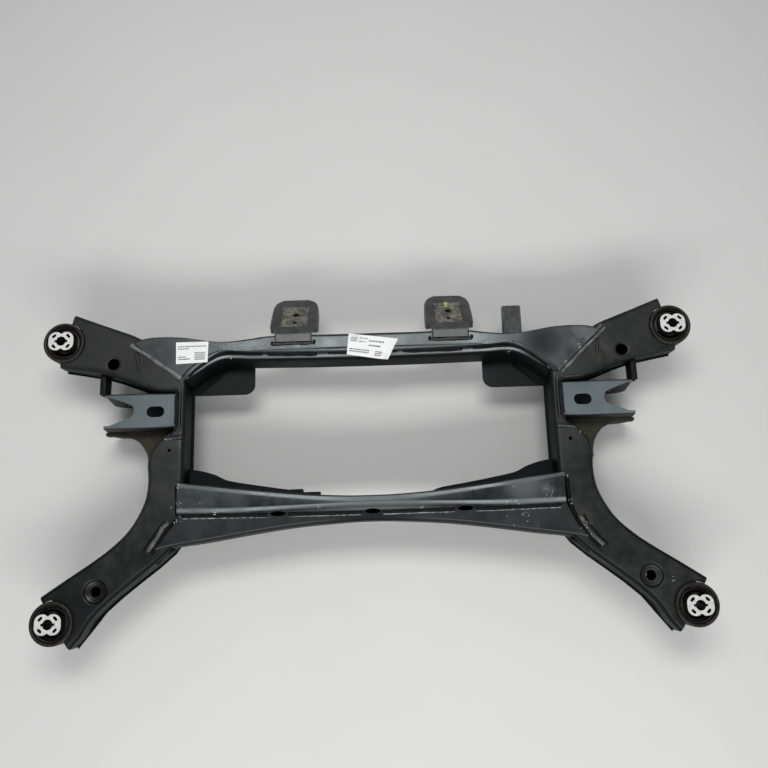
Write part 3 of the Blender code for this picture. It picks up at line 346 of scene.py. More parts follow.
class Tree:
    """Shorthand for building node materials."""

    def __init__(self, name):
        self.mat = bpy.data.materials.new(name)
        self.mat.use_nodes = True
        self.nodes = self.mat.node_tree.nodes
        self.links = self.mat.node_tree.links
        self.shader = self.nodes["Principled BSDF"]
        self.coord = self.make("TexCoord").outputs["Object"]

    def make(self, kind, inputs=None, **settings):
        """A new node with its settings, and values or links on its inputs."""
        node = self.nodes.new("ShaderNode" + kind)
        for key, value in settings.items():
            setattr(node, key, value)
        for key, value in (inputs or {}).items():
            self.put(node.inputs[key], value)
        return node

    def put(self, socket, value):
        if isinstance(value, bpy.types.NodeSocket):
            self.links.new(value, socket)
        elif isinstance(value, tuple) and len(value) == 3:
            socket.default_value = (*value, 1.0) if socket.type == "RGBA" else value
        else:
            socket.default_value = value

    def set(self, name, value):
        self.put(self.shader.inputs[name], value)

    def noise(self, scale, detail=3.0, rough=0.55, stretch=None, warp=0.0):
        """Noise, with stretch giving the scale on each axis and a turn about Z."""
        source = self.coord
        if stretch:
            turn = (0, 0, stretch[3])
            source = self.make("Mapping", {"Vector": source, "Scale": stretch[:3],
                                           "Rotation": turn}).outputs[0]
        return self.make("TexNoise", {"Vector": source, "Scale": scale, "Detail": detail, "Roughness": rough,
                                      "Distortion": warp}).outputs["Fac"]

    def ramp(self, value, low, high, out_low=0.0, out_high=1.0):
        inputs = {"Value": value, "From Min": low, "From Max": high, "To Min": out_low, "To Max": out_high}
        return self.make("MapRange", inputs, interpolation_type="SMOOTHSTEP").outputs["Result"]

    def math(self, operation, a, b=0.0):
        return self.make("Math", {0: a, 1: b}, operation=operation).outputs[0]

    def times(self, a, b):
        return self.math("MULTIPLY", a, b)

    def plus(self, a, b):
        return self.math("ADD", a, b)

    def most(self, a, b):
        return self.math("MAXIMUM", a, b)

    def mix(self, factor, a, b):
        return self.make("Mix", {"Factor": factor, 6: a, 7: b}, data_type="RGBA").outputs[2]

    def upward(self):
        """1 on faces that look up, 0 on walls."""
        normal = self.make("NewGeometry").outputs["Normal"]
        return self.ramp(self.make("SeparateXYZ", {0: normal}).outputs["Z"], 0.55, 0.95)

    def axis(self, name):
        return self.make("SeparateXYZ", {0: self.coord}).outputs[name]

    def bump(self, height, strength, distance):
        """Lay a bump over those put in before."""
        node = self.make("Bump", {"Strength": strength, "Distance": distance, "Height": height})
        normal = self.shader.inputs["Normal"]
        if normal.is_linked:
            self.links.new(normal.links[0].from_socket, node.inputs["Normal"])
        self.links.new(node.outputs["Normal"], normal)

    def spot(self, x, y, z, radius, soft=0.9):
        """1 inside a round patch about a point."""
        node = self.make("VectorMath", {0: self.coord, 1: (x, y + SHIFT_Y, z)}, operation="DISTANCE")
        return self.ramp(node.outputs["Value"], radius * (1 - soft), radius, 1.0, 0.0)


def coat(name, dark, light, rough, specular, dust, dust_and_sheen_colour=(0.082, 0.078, 0.066), patches=(),
         brushed=None, walls=None, tint=(0.88, 0.97, 1.0), low_shade=None, dull=(), even=()):
    """Black dip coat: cloudy colour, fine scratches and dust on faces that look up; a bluish dust colour
    paints sheen there too.
    patches and even are broken and smooth films: patches of dust, with painted sheen when bluish, and even of
    painted sheen;
    dull adds roughness: each spot is x, y, z, radius, amount. The wall and low colours paint shade on steep
    faces and below a height."""
    t = Tree(name)
    cloud = t.noise(7.0, 5.0, 0.6, warp=0.4)
    fine = t.noise(60.0, 4.0, 0.6)
    grain = t.noise(900.0, 2.0, 0.5)
    colour = t.mix(t.ramp(cloud, 0.35, 0.68), dark, light)
    lines = t.noise(26.0, 2.0, 0.5, stretch=(1.0, 14.0, 4.0, 0.5))
    scuffs = t.times(t.ramp(lines, 0.64, 0.72), t.ramp(t.noise(11.0, 3.0), 0.52, 0.66))
    colour = t.mix(t.times(scuffs, 0.16), colour, (0.1, 0.105, 0.11))
    dusty = t.times(t.ramp(t.plus(t.times(cloud, 0.6), t.times(fine, 0.45)), 0.44, 0.66), t.upward())
    total = t.times(dusty, dust)
    for *place, amount in patches:
        near = t.times(t.spot(*place), t.ramp(fine, 0.3, 0.62))
        total = t.most(total, t.times(near, amount))
    # Even spots: smooth films of painted sheen.
    for *place, amount in even:
        total = t.most(total, t.times(t.spot(*place), amount))
    colour = t.mix(total, colour, dust_and_sheen_colour)
    if brushed:
        streak = t.noise(70.0, 3.0, 0.6, stretch=brushed)
        colour = t.mix(t.ramp(streak, 0.42, 0.7, 0.0, 0.55), colour, (0.2, 0.205, 0.21))
    # Painted shade: faces below a height take the low colour.
    if low_shade:
        colour = t.mix(t.ramp(t.axis("Z"), 0.104, 0.124), low_shade, colour)
    roughness = t.plus(t.ramp(cloud, 0.3, 0.7, rough - 0.07, rough + 0.09), t.times(total, 0.35))
    for *place, amount in dull:
        roughness = t.plus(roughness, t.times(t.spot(*place), amount))
    # Painted shade: steep faces take the wall colour.
    if walls:
        facing = t.upward()
        colour = t.mix(facing, walls, colour)
        roughness = t.plus(roughness, t.ramp(facing, 0.0, 0.6, 0.2, 0.0))
    t.set("Base Color", colour)
    t.set("Roughness", roughness)
    t.set("Specular IOR Level", specular)
    t.set("Specular Tint", tint)
    t.bump(grain, 0.14, 0.0002)
    t.bump(fine, 0.12, 0.0008)
    return t.mat


def plain_noise(name, dark, light, rough, scale, bump, specular=0.5, metallic=0.0):
    t = Tree(name)
    pattern = t.noise(scale, 4.0, 0.6)
    t.set("Base Color", t.mix(t.ramp(pattern, 0.35, 0.65), dark, light))
    t.set("Roughness", t.ramp(pattern, 0.3, 0.7, rough - 0.07, rough + 0.08))
    t.set("Metallic", metallic)
    t.set("Specular IOR Level", specular)
    t.bump(pattern, bump, 0.0003)
    return t.mat


def machined(name):
    """Cast and faced aluminium: bright, with fine arcs and a few dull specks; faces that don't look up, the
    core's sides and bore, are painted near black as shade.
    """
    t = Tree(name)
    fine = t.noise(260.0, 4.0, 0.6)
    specks = t.ramp(t.noise(420.0, 2.0), 0.62, 0.72)
    base = t.mix(t.ramp(fine, 0.3, 0.7), (0.6, 0.6, 0.585), (0.74, 0.74, 0.725))
    face = t.mix(t.times(specks, 0.35), base, (0.3, 0.29, 0.28))
    # Painted shade: faces that don't look up take near black.
    t.set("Base Color", t.mix(t.upward(), (0.01, 0.009, 0.008), face))
    t.set("Roughness", t.ramp(fine, 0.3, 0.7, 0.34, 0.52))
    t.set("Metallic", 0.35)
    t.bump(fine, 0.25, 0.0002)
    return t.mat


def mount_coat(name):
    """Coat under a film of pale dust, thickest in the pressed recess, with a yellow dab and a dark stain."""
    t = Tree(name)
    cloud = t.noise(28.0, 5.0, 0.65, warp=0.6)
    fine = t.noise(240.0, 4.0, 0.6)
    wipe = t.noise(30.0, 3.0, 0.5, stretch=(1.0, 6.0, 1.0, 1.2))
    film = t.ramp(t.plus(t.times(cloud, 0.6), t.times(wipe, 0.4)), 0.34, 0.58, 0.34, 1.0)
    run = t.axis("Y")
    low, high = RECESS_Y
    along = t.times(t.ramp(run, low + SHIFT_Y, 0.256 + SHIFT_Y),
                    t.ramp(run, high + SHIFT_Y, 0.2995 + SHIFT_Y))
    recess = None
    for x in MOUNT_X.values():
        off = t.math("ABSOLUTE", t.math("SUBTRACT", t.axis("X"), x))
        near = t.ramp(off, 0.025, 0.0228)
        recess = t.most(recess, near) if recess else near
    recess = t.times(recess, along)
    film = t.times(film, t.ramp(recess, 0.0, 1.0, 0.1, 1.0))
    base = t.mix(t.ramp(cloud, 0.35, 0.65), (0.024, 0.026, 0.027), (0.05, 0.053, 0.054))
    blotch = t.ramp(t.noise(85.0, 5.0, 0.7, warp=1.2), 0.42, 0.6)
    colour = t.mix(film, base, t.mix(blotch, (0.235, 0.226, 0.182), (0.09, 0.088, 0.078)))
    dab = t.times(t.spot(MOUNT_X["r"] - 0.002, 0.299, 0.102, 0.0085, 0.25), t.ramp(fine, 0.32, 0.46))
    colour = t.mix(t.times(dab, 0.85), colour, (0.62, 0.62, 0.1))
    stain = t.times(t.spot(MOUNT_X["r"] - 0.004, 0.279, 0.112, 0.014, 0.6), t.ramp(cloud, 0.3, 0.55))
    colour = t.mix(t.times(stain, 0.75), colour, (0.045, 0.045, 0.05))
    t.set("Base Color", colour)
    t.set("Roughness", t.ramp(film, 0.0, 0.7, 0.38, 0.78))
    t.set("Specular IOR Level", 0.45)
    t.bump(fine, 0.25, 0.0003)
    return t.mat


def paper(name):
    t = Tree(name)
    fibres = t.noise(700.0, 4.0, 0.6)
    grime = t.noise(45.0, 4.0, 0.6)
    base = t.mix(t.ramp(fibres, 0.3, 0.7), (0.72, 0.735, 0.725), (0.82, 0.835, 0.825))
    t.set("Base Color", t.mix(t.ramp(grime, 0.5, 0.76, 0.0, 0.35), base, (0.42, 0.415, 0.37)))
    t.set("Roughness", t.ramp(grime, 0.3, 0.7, 0.5, 0.68))
    t.bump(fibres, 0.15, 0.0001)
    return t.mat


JUNCTION_DUST = ((-0.395, 0.205, 0.138, 0.045, 0.55), (0.392, 0.23, 0.138, 0.055, 0.55),
                 (-0.352, 0.055, 0.136, 0.035, 0.5), (0.352, 0.055, 0.136, 0.035, 0.45),
                 (0.345, -0.095, 0.136, 0.045, 0.45), (-0.345, -0.105, 0.136, 0.04, 0.4),
                 (0.4, -0.06, 0.136, 0.04, 0.3), (0.405, 0.197, 0.134, 0.042, 1.0))
# Spots of dust with painted sheen on the rear arms and crossmembers.
DUST_AND_SHEEN_SPOTS = ((0.385, 0.225, 0.139, 0.05, 0.85), (-0.37, 0.215, 0.139, 0.04, 0.45),
             (0.29, -0.045, 0.145, 0.025, 0.6), (-0.11, 0.22, 0.139, 0.06, 0.35))
REAR_DULL = ((0.305, 0.212, 0.139, 0.055, 0.6), (-0.3, 0.205, 0.139, 0.05, 0.12),
             (-0.372, 0.205, 0.139, 0.06, 0.42))
# Spots of painted sheen on the front crossmember's top.
FRONT_SHEEN_SPOTS = ((0.255, -0.03, 0.146, 0.05, 0.6), (0.0, -0.056, 0.146, 0.15, 0.6))
FRONT_DULL = ((0.0, -0.08, 0.138, 0.12, 0.55),)
NEUTRAL = (1.0, 0.97, 0.93)
# Near-black colour of painted shade, for walls and low faces.
PAINTED_SHADE = (0.0016, 0.0017, 0.0018)
black = coat("looks_black", (0.003, 0.0032, 0.0033), (0.007, 0.0073, 0.0072), 0.4, 0.36, 0.3,
             (0.034, 0.032, 0.027), JUNCTION_DUST, tint=(0.95, 1.0, 1.0), walls=PAINTED_SHADE)
# Satin coat: its bluish dust colour and patch spots paint dust with sheen, its even spots paint sheen alone,
# and its wall colour paints shade.
satin = coat("looks_satin", (0.004, 0.0052, 0.0062), (0.012, 0.015, 0.017), 0.24, 0.6, 0.14,
             (0.085, 0.092, 0.094), DUST_AND_SHEEN_SPOTS, walls=PAINTED_SHADE, dull=REAR_DULL, even=FRONT_SHEEN_SPOTS)
# Painted sheen: the light bluish grey stands in for light reflected off the link bracket webs; the wall
# colour paints shade on their steep faces.
plate = coat("looks_plate_sheen", (0.07, 0.09, 0.098), (0.1, 0.124, 0.134), 0.36, 0.5, 0.14, (0.11, 0.115, 0.112),
             walls=(0.004, 0.0045, 0.005))
front_skin = coat("looks_front", (0.006, 0.0085, 0.0092), (0.013, 0.017, 0.018), 0.4, 0.34, 0.2,
                  (0.04, 0.039, 0.036), walls=PAINTED_SHADE, low_shade=PAINTED_SHADE, dull=FRONT_DULL)
shade = coat("looks_shade", (0.0018, 0.0019, 0.0019), (0.005, 0.005, 0.0047), 0.48, 0.15, 0.25,
             (0.02, 0.018, 0.014))
# Painted shade: a near-black copy of the black coat for walls, low faces and the side members' lower
# pressings.
wall_shade_coat = coat("looks_wall_shade", (0.0014, 0.0015, 0.0016), (0.0034, 0.0036, 0.0037), 0.52, 0.14, 0.1,
                 (0.012, 0.012, 0.011))
# Painted shade: a near-black coat on beads that stand for the shade in seams and grooves.
groove_shade_coat = plain_noise("looks_groove_shade", (0.001, 0.0011, 0.0012), (0.0026, 0.0028, 0.003), 0.5, 60.0, 0.12,
                          0.12)
smear_coat = plain_noise("looks_smear", (0.026, 0.027, 0.026), (0.09, 0.091, 0.086), 0.42, 90.0, 0.35, 0.5)
olive = coat("looks_olive", (0.01, 0.0095, 0.0075), (0.026, 0.024, 0.017), 0.62, 0.22, 0.7,
             (0.05, 0.045, 0.03), tint=NEUTRAL)
hanger_coat = coat("looks_hanger", (0.024, 0.03, 0.033), (0.045, 0.052, 0.056), 0.38, 0.5, 0.15,
                   brushed=(12.0, 0.8, 0.8, 0.0))
bead_coat = plain_noise("looks_bead", (0.0016, 0.0018, 0.002), (0.004, 0.0044, 0.0048), 0.34, 60.0, 0.12, 0.4)
# Dust and painted glints: light specks along the front seam.
dust_and_glint_coat = plain_noise("looks_dust_and_glint", (0.014, 0.016, 0.017), (0.23, 0.25, 0.255), 0.36, 130.0, 0.25, 0.6)
# Painted highlight: light grey on the weld ridges stands in for their highlights.
silver_highlight_coat = plain_noise("looks_silver_highlight", (0.07, 0.076, 0.079), (0.16, 0.17, 0.174), 0.3, 60.0, 0.2, 0.6,
                          0.15)
chip_coat = plain_noise("looks_chip", (0.22, 0.225, 0.22), (0.42, 0.425, 0.42), 0.3, 120.0, 0.2, 0.6, 0.2)
dusty = mount_coat("looks_mount")
rubber = plain_noise("looks_rubber", (0.0045, 0.0038, 0.0034), (0.014, 0.012, 0.01), 0.42, 160.0, 0.3, 0.4)
steel = plain_noise("looks_steel", (0.02, 0.018, 0.016), (0.05, 0.044, 0.036), 0.42, 200.0, 0.3, metallic=0.6)
alloy = machined("looks_alloy")
paper_mat = paper("looks_paper")
ink = plain_noise("looks_ink", (0.035, 0.035, 0.036), (0.07, 0.07, 0.07), 0.6, 500.0, 0.1)


# Side members

def side_rails():
    arm_outer = smooth_curve(mm((537, 192), (518, 189), (480, 182.5), (458.5, 178), (430, 169), (395, 155),
                                (366, 146.2)), ARM_STEPS)
    arm_inner = smooth_curve(mm((515, 287), (470, 269.5), (433, 255.5), (405, 244), (362, 218), (332, 190)),
                             ARM_STEPS)
    neck_outer = [(0.345, LINK_Y[1] + GAP), (0.3375, 0.1445), (NECK_X, 0.14), (NECK_X, 0.085),
                  (0.338, 0.0745), (0.345, 0.069), (0.36, 0.057)]
    neck_inner = [(0.32, 0.172)] + [(WINDOW_X, y) for y in (0.16, 0.14, 0.085, 0.0745, 0.064, 0.054)]
    front_outer = smooth_curve(mm((373.5, 40), (377.5, 20), (375.5, -10), (379, -40), (390, -67), (406, -92),
                                  (429, -114.5), (461, -138), (505, -166.5), (545, -193)), FRONT_STEPS)
    curve = mm((317.5, -85), (326, -113), (352, -140), (399, -177), (437, -208), (462, -234), (478, -260),
               (493, -277))
    front_inner = smooth_curve([(WINDOW_X, y) for y in (0.04, 0.01, -0.04)] + curve, FRONT_STEPS)
    outer = [tuple(p) for p in arm_outer + neck_outer + front_outer]
    inner = [tuple(p) for p in arm_inner + neck_inner + front_inner]
    lift = [-ARM_DROP * (1 - eased((i - 15) / 6)) for i in range(ARM_STEPS)]
    lift += [-0.5 * NECK_DROP] + [-NECK_DROP] * (len(neck_outer) - 2) + [0.0]
    lift += [-ARM_DROP * eased((i - 19) / 7) for i in range(FRONT_STEPS)]
    foot = [ARM_RISE * max(0.0, 1 - i / 18) for i in range(ARM_STEPS)] + [0.0] * len(neck_outer)
    foot += [ARM_RISE * max(0.0, 1 - (FRONT_STEPS - 1 - i) / 18) for i in range(FRONT_STEPS)]
    return outer, inner, lift, foot


OUTER, INNER, LIFT, FOOT = side_rails()


def envelope(side):
    """The side member's outer form, grown by one gap."""
    top = SKIN_Z + GAP
    bottom = SKIN_Z - SIDE_DEPTH - BASE_SHEET - 2 * GAP
    section = [(0, -GAP, bottom, 0), (0, -GAP, top, 1), (1, GAP, top, 1), (1, GAP, bottom, 0)]
    return ruled_loft(side, OUTER, INNER, section, LIFT, FOOT)


def lip_block(side):
    """Room for the lip of a side member's lower pressing."""
    top = SKIN_Z - SIDE_DEPTH
    low = top - BRACKET_SHEET - 3 * GAP
    section = [(0, -0.0033, low, 0), (0, -0.0033, top, 0), (1, 0.0033, top, 0), (1, 0.0033, low, 0)]
    return ruled_loft(side, OUTER, INNER, section, None, FOOT)


def under_block(side):
    """Room for the lower pressing where a crossmember passes beneath its lip."""
    near = WINDOW_X - 0.0036
    return prism(side, rectangle(near, 0.43, -0.17, 0.26), 0.03, SKIN_Z - SIDE_DEPTH - GAP)


def side_clearances():
    return [cut(shape(side)) for side in (1, -1) for shape in (envelope, lip_block, under_block)]


def side_member(side, tag):
    section = channel_section(SKIN_Z, SKIN_Z - SIDE_DEPTH, EDGE_RADIUS, SHEET)
    obj = raw(ruled_loft(side, OUTER, INNER, section, LIFT, FOOT))
    arm_z = SKIN_Z - ARM_DROP
    hole = (side * TOOLING_HOLE[0], TOOLING_HOLE[1])
    cup = (side * ARM_CUP[0], ARM_CUP[1])
    tools = [cut(prism(side, circle(spot, HOUSING_RADIUS + 2 * GAP, 64), 0.02, 0.2))
             for spot in (REAR_BUSH, FRONT_BUSH)]
    rim = mm((0, -20), (10, -20), (10, -2.2), (11, -1.2), (13, -0.9), (14.2, -0.2), (15, 2), (0, 2))
    tools.append(cut(revolve(hole, rim, 48, arm_z)))
    under = mm((0, -8), (15, -8), (19, -6.5), (22.2, -2.4), (22.2, -1.2), (0, -1.2))
    tools.append(add(revolve(cup, under, 48, arm_z)))
    dish = mm((0, -5.2), (10.5, -5), (12.5, -4.6), (13.8, -3.6), (16.5, -3), (18.2, -1.8), (19.6, -0.6),
              (21.5, 0.2), (21.5, 2), (0, 2))
    tools.append(cut(revolve(cup, dish, 48, arm_z)))
    tools.append(cut(prism(1, circle(cup, 0.0084), 0.1, 0.15)))
    tools.append(cut(prism(side, circle((0.34, 0.041), 0.003, 20), 0.12, 0.15)))
    bake(obj, tools)
    dress(obj, "side_skin_" + tag, black, "black_coat", "side_member_top_" + tag)
    # Painted shade also covers the rolled edges of the front arms.
    darken_walls(obj, front_limit=0.9)


# Crossmembers

REAR_SEAM = mm((323, 157), (300, 181), (256, 207), (200, 206.5), (100, 205), (0, 204.5))
REAR_BACK = mm((409, 233), (380, 240), (330, 239.5), (276, 231), (245, 229), (205, 233), (170, 237),
               (80, 237), (0, 237))
SEAM_DROP = 0.0055


def rear_crossmember():
    seam = mirrored(smooth_curve(REAR_SEAM, 48))
    back = mirrored(smooth_curve(REAR_BACK, 48))
    top = LAP_Z
    radius = 0.006
    lip = 0.009
    section = [(0, 0, top - SEAM_DROP, 0), (0, 0.0022, top - 0.0036, 0), (0, 0.0052, top - 0.0012, 0),
               (0, lip, top, 0)]
    section += list(reversed(fold(1, 0, top, radius, -1))) + [(1, 0, top - 0.034, 0),
                                                              (1, -SHEET, top - 0.034, 0)]
    section += fold(1, -SHEET, top - SHEET, radius - SHEET, -1)
    section += [(0, lip + 0.0005, top - SHEET, 0), (0, 0, top - SEAM_DROP - SHEET, 0)]
    obj = raw(ruled_loft(1, seam, back, section))
    bake(obj, [cut(envelope(side)) for side in (1, -1)])
    dress(obj, "rear_top_skin", satin, "satin_coat", "rear_crossmember_top")

    reach = mm((334.5, 156), (321.5, 168.5), (300, 183), (256, 207), (200, 206.5), (100, 205), (0, 204.5))
    line = mirrored(smooth_curve(reach, 44))
    rear = [(x, 0.2252) for x, _ in line]
    high = top - SEAM_DROP - SHEET - GAP
    low = REAR_BASE_LOW
    ledge = 0.007
    sheet = BASE_SHEET
    bulge = mm((6, 0), (0, 0.2), (-1.5, 0.8), (-3.5, 2), (-5.5, 3.3), (-7.5, 4.7), (-9, 6.6), (-10.5, 10),
               (-11.5, 15))
    outer = [(0, d, high - z, 0) for d, z in bulge]
    outer += [(0, -ledge - d, low + z, 0) for d, z in mm((8, 12), (7.4, 7), (5.8, 3.5), (3, 1), (0, 0))]
    outer += [(1, -0.004, low, 0), (1, -0.0012, low + 0.0012, 0), (1, 0, low + 0.004, 0),
              (1, 0, high - 0.012, 0)]
    inner = [(1, -sheet, high - 0.012, 0), (1, -sheet, low + 0.005, 0), (1, -0.005, low + sheet, 0)]
    inner += [(0, d - ledge, low + z, 0) for d, z in ((0.001, sheet), (-0.0038, 0.006), (-0.0055, 0.0125))]
    inner += [(0, d, high - z, 0) for d, z in ((-0.009, 0.0155), (-0.008, 0.011), (-0.006, 0.0076),
                                               (-0.0022, 0.0044), (0.006, sheet))]
    obj = raw(ruled_loft(1, line, rear, outer + inner))
    bake(obj, side_clearances())
    dress(obj, "rear_base_skin", satin, "black_coat", "rear_crossmember_base")
    darken_walls(obj, 0.62)


FRONT_SEAM = mm((321.5, -66.8), (200, -68.6), (0, -69))
FRONT_CREST = mm((321.5, -13), (300, -17), (188, -31), (105, -40), (40, -44), (0, -44.5))
FRONT_NOSE = mm((374, -133), (335, -121.5), (272, -112.5), (209, -103), (125, -92.5), (41, -87), (0, -86))
FRONT_TAIL = mm((374, 14), (310, 11), (270, 1), (246, -10), (169, -24), (120, -31.5), (95, -38.5),
                (0, -43))
LEDGE_TABS = mm((-142.4, -117.5, -27.6), (-113.8, -87.4, -33.1), (109.9, 140.1, -34.1),
                (141.1, 162.7, -30))


def y_at(points, x):
    """Y of a plan line that runs inwards, where it passes x."""
    for (x0, y0), (x1, y1) in zip(points, points[1:]):
        if x1 <= x <= x0:
            return y0 + (y1 - y0) * (x0 - x) / (x0 - x1)
    return points[-1][1]


def front_crossmember():
    seam = mirrored(smooth_curve(FRONT_SEAM, 40))
    crest = mirrored(smooth_curve(FRONT_CREST, 40))
    edge_z = LAP_Z + GAP + SHEET
    top = edge_z + 0.0055
    ledge = 0.096
    crest_drop = 0.0008
    fold_line = [(1, d, z - top) for _, d, z, _ in reversed(fold(1, 0, top - crest_drop, 0.0035, -1))]
    rings = []
    for a, b in zip(seam, crest):
        a = Vector(a)
        b = Vector(b)
        way = (b - a).normalized()
        ease = eased(1 - abs(a.x) / 0.27)
        start = 0.0006 + 0.005 * ease
        share = 1 - 0.25 * ease
        rise = [(0, 0, -0.0055), (0, start, -0.0054)]
        for run, z in mm((1.2, -4.4), (3.4, -3.3), (5.6, -2.2), (7.8, -1.2), (10, -0.5), (12.5, 0)):
            rise.append((0, start + run * share, z))
        roll = [(1, -0.0098, 0.0), (1, -0.0082, -0.0001), (1, -0.0066, -0.0003), (1, -0.005, -0.00055)]
        under = [(1, 0, ledge - top), (1, -SHEET, ledge - top), (1, -SHEET, -0.0062),
                 (1, -0.006, -SHEET - 0.0012), (0, start + 0.0115 * share, -SHEET - 0.0004),
                 (0, start + 0.004 * share, -SHEET - 0.003), (0, 0, -0.0055 - SHEET)]
        ring = []
        for t, d, z in rise + roll + fold_line + under:
            p = a.lerp(b, t) + way * d
            ring.append((p.x, p.y, top + z))
        rings.append(ring)
    upper = raw(loft(rings))

    def lens_cuts():
        outlines = [circle((x, LENS_Y), LENS_HALF[0], 40, LENS_HALF[1]) for x in LENS_X]
        return [cut(prism(1, outline, LAP_Z - 0.02, top + 0.01)) for outline in outlines]

    tools = [cut(envelope(side)) for side in (1, -1)]
    tools += lens_cuts()
    bake(upper, tools)
    dress(upper, "front_top_skin", satin, "satin_coat", "front_crossmember_top")
    darken_walls(upper)

    tail = [(p.x, p.y) for p in smooth_curve(FRONT_TAIL, 60)]
    rings = []
    sheet = BASE_SHEET
    low = FRONT_BASE_LOW
    shelf = ledge - GAP
    for x, nose_y in mirrored(smooth_curve(FRONT_NOSE, 44)):
        tail_y = y_at(tail, abs(x))
        wall_y = tail_y - 0.01 - 0.12 * max(0.0, abs(x) - 0.1)
        drop_z = 0.0012 * min(1.0, max(0.0, (0.3 - abs(x)) / 0.06))
        skin = LAP_Z - drop_z
        plan = [(-0.0635, LAP_Z), (-0.072, LAP_Z - 0.4 * drop_z)]
        plan += [(nose_y + d, skin - z) for d, z in mm((7, 0), (4.2, 0.8), (2, 3), (0.5, 5.5), (0, 9))]
        plan += [(nose_y + d, low + z) for d, z in mm((0, 5), (1.5, 1.5), (5, 0))]
        plan += [(wall_y - d, low + z) for d, z in mm((5, 0), (1.5, 1.5), (0, 5))]
        plan += [(wall_y, shelf - sheet), (tail_y, shelf - sheet), (tail_y, shelf), (wall_y - sheet, shelf)]
        plan += [(wall_y - d, low + z) for d, z in ((sheet, 0.006), (0.006, sheet))]
        plan += [(nose_y + d, low + z) for d, z in ((0.006, sheet), (sheet, 0.006))]
        plan += [(nose_y + d, skin - z) for d, z in ((sheet, 0.01), (0.004, 0.005), (0.0075, sheet))]
        plan.append((-0.0635, LAP_Z - sheet))
        rings.append([(x, y, z) for y, z in plan])
    base = raw(loft(rings))
    tools = []
    for side in (1, -1):
        tools += [cut(shape(side)) for shape in (envelope, lip_block, under_block)]
        ridge = smooth_curve(mm((320.5, -60), (321.5, -72), (331, -89), (344, -108), (367, -127.5)), 16)
        corner = [(p.x, p.y) for p in ridge] + mm((370, -150), (384, -150), (384, -60))
        tools.append(cut(prism(side, corner, SKIN_Z - ARM_DROP, LAP_Z + 0.01)))
    for x0, x1, y1 in LEDGE_TABS:
        outline = rounded_box((0.5 * (x0 + x1), 0.5 * (y1 - 0.048)), x1 - x0, y1 + 0.048, 0.002, 3)
        tools.append(add(prism(1, outline, shelf - sheet, shelf)))
    tools += lens_cuts()
    bake(base, tools)
    dress(base, "front_base_skin", front_skin, "black_coat", "front_crossmember_base")
    darken_walls(base, 0.35, 0.11)


# Brackets

def link_bracket(side, tag):
    web_z = LINK_WEB_Z
    root = NECK_X + GAP
    low_y, high_y = LINK_Y
    middle = 0.5 * (low_y + high_y)
    profile = [(root, 0.058), (root, web_z - 0.001), (0.4605, web_z - 0.001)]
    profile += arc(LINK_BOLT, 0.026, 12, -108, 24)
    obj = raw(upright_plate(side, profile, high_y - BRACKET_SHEET, high_y))
    radius = 0.005
    sides = fold(0, low_y, web_z, radius, 1, 6) + list(reversed(fold(0, high_y, web_z, radius, -1, 6)))
    outline = [(y, z) for _, y, z, _ in sides]
    outline += [(high_y - 0.7 * BRACKET_SHEET, web_z - radius), (high_y - radius, web_z - BRACKET_SHEET),
                (low_y + radius, web_z - BRACKET_SHEET), (low_y + 0.7 * BRACKET_SHEET, web_z - radius)]
    web = loft([[(side * x, y, z) for y, z in outline] for x in (root, 0.461)])
    square = prism(side, rectangle(root - 0.01, 0.48, low_y - 0.01, high_y + 0.01), web_z - radius,
                   web_z + 0.01)
    notch = [(0.481, low_y + 0.005), (0.451, low_y + 0.006), (0.421, middle - 0.0135)]
    notch += arc((0.4225, middle), 0.0135, 235, -110, 8)
    notch += [(0.421, middle + 0.0135), (0.451, high_y - 0.006), (0.481, high_y - 0.005)]
    slot = rounded_box((0.3715, middle - 0.0025), 0.0305, 0.019, 0.0093, 10)
    bolt = circle(LINK_BOLT, BOLT_RADIUS, 32)
    wall = 0.7 * BRACKET_SHEET
    brace = prism(side, rectangle(root + 0.006, 0.411, low_y + wall, high_y - wall), 0.052,
                  0.052 + BRACKET_SHEET)
    tools = [add(upright_plate(side, profile, low_y, low_y + BRACKET_SHEET)), cut(square),
             add(web), add(brace),
             cut(prism(side, notch, web_z - radius - 0.003, web_z + 0.01)),
             cut(prism(side, slot, web_z - 0.02, web_z + 0.01)),
             cut(upright_plate(side, bolt, low_y - 0.01, high_y + 0.01)),
             cut(lip_block(side)), cut(envelope(side))]
    bake(obj, tools, 0.0004)
    dress(obj, "link_skin_" + tag, plate, "satin_coat", "link_bracket_" + tag)


def rear_link_bracket(side, tag):
    x0, x1 = 0.2055, 0.318
    y0, y1 = 0.1455, 0.216
    top = REAR_BASE_LOW - GAP
    sheet = BRACKET_SHEET
    low = 0.03

    def cup(xa, xb, ya, yb, front_radius, back_radius):
        points = [(xb, ya)] + arc((xa + front_radius, ya + front_radius), front_radius, 270, -90, 12)
        return points + arc((xa + back_radius, yb - back_radius), back_radius, 180, -90, 12) + [(xb, yb)]

    obj = raw(prism(side, cup(x0, x1, y0, y1, 0.018, 0.008), low, top, 0.13, (x1, y1)))
    room = prism(side, cup(x0 + sheet, x1 + 0.02, y0 + sheet, y1 - sheet, 0.0145, 0.0045),
                 low - 0.0004, top - sheet, 0.13, (x1, y1 - sheet))
    lobe = (x1 - 0.024, low + 0.021)
    below = [(x0 - 0.01, low - 0.01), (x0 - 0.01, low + 0.022), (x0 + 0.04, low + 0.018)]
    below += arc(lobe, 0.021, 235, 125, 16) + [(x1 + 0.01, lobe[1]), (x1 + 0.01, low - 0.01)]
    bolt = circle(lobe, BOLT_RADIUS, 32)
    bake(obj, [cut(room), cut(upright_plate(side, below, y0 - 0.01, y1 + 0.01)),
               cut(upright_plate(side, bolt, y0 - 0.01, y1 + 0.01))], 0.0004)
    dress(obj, "rear_link_skin_" + tag, shade, "black_coat", "rear_link_bracket_" + tag)


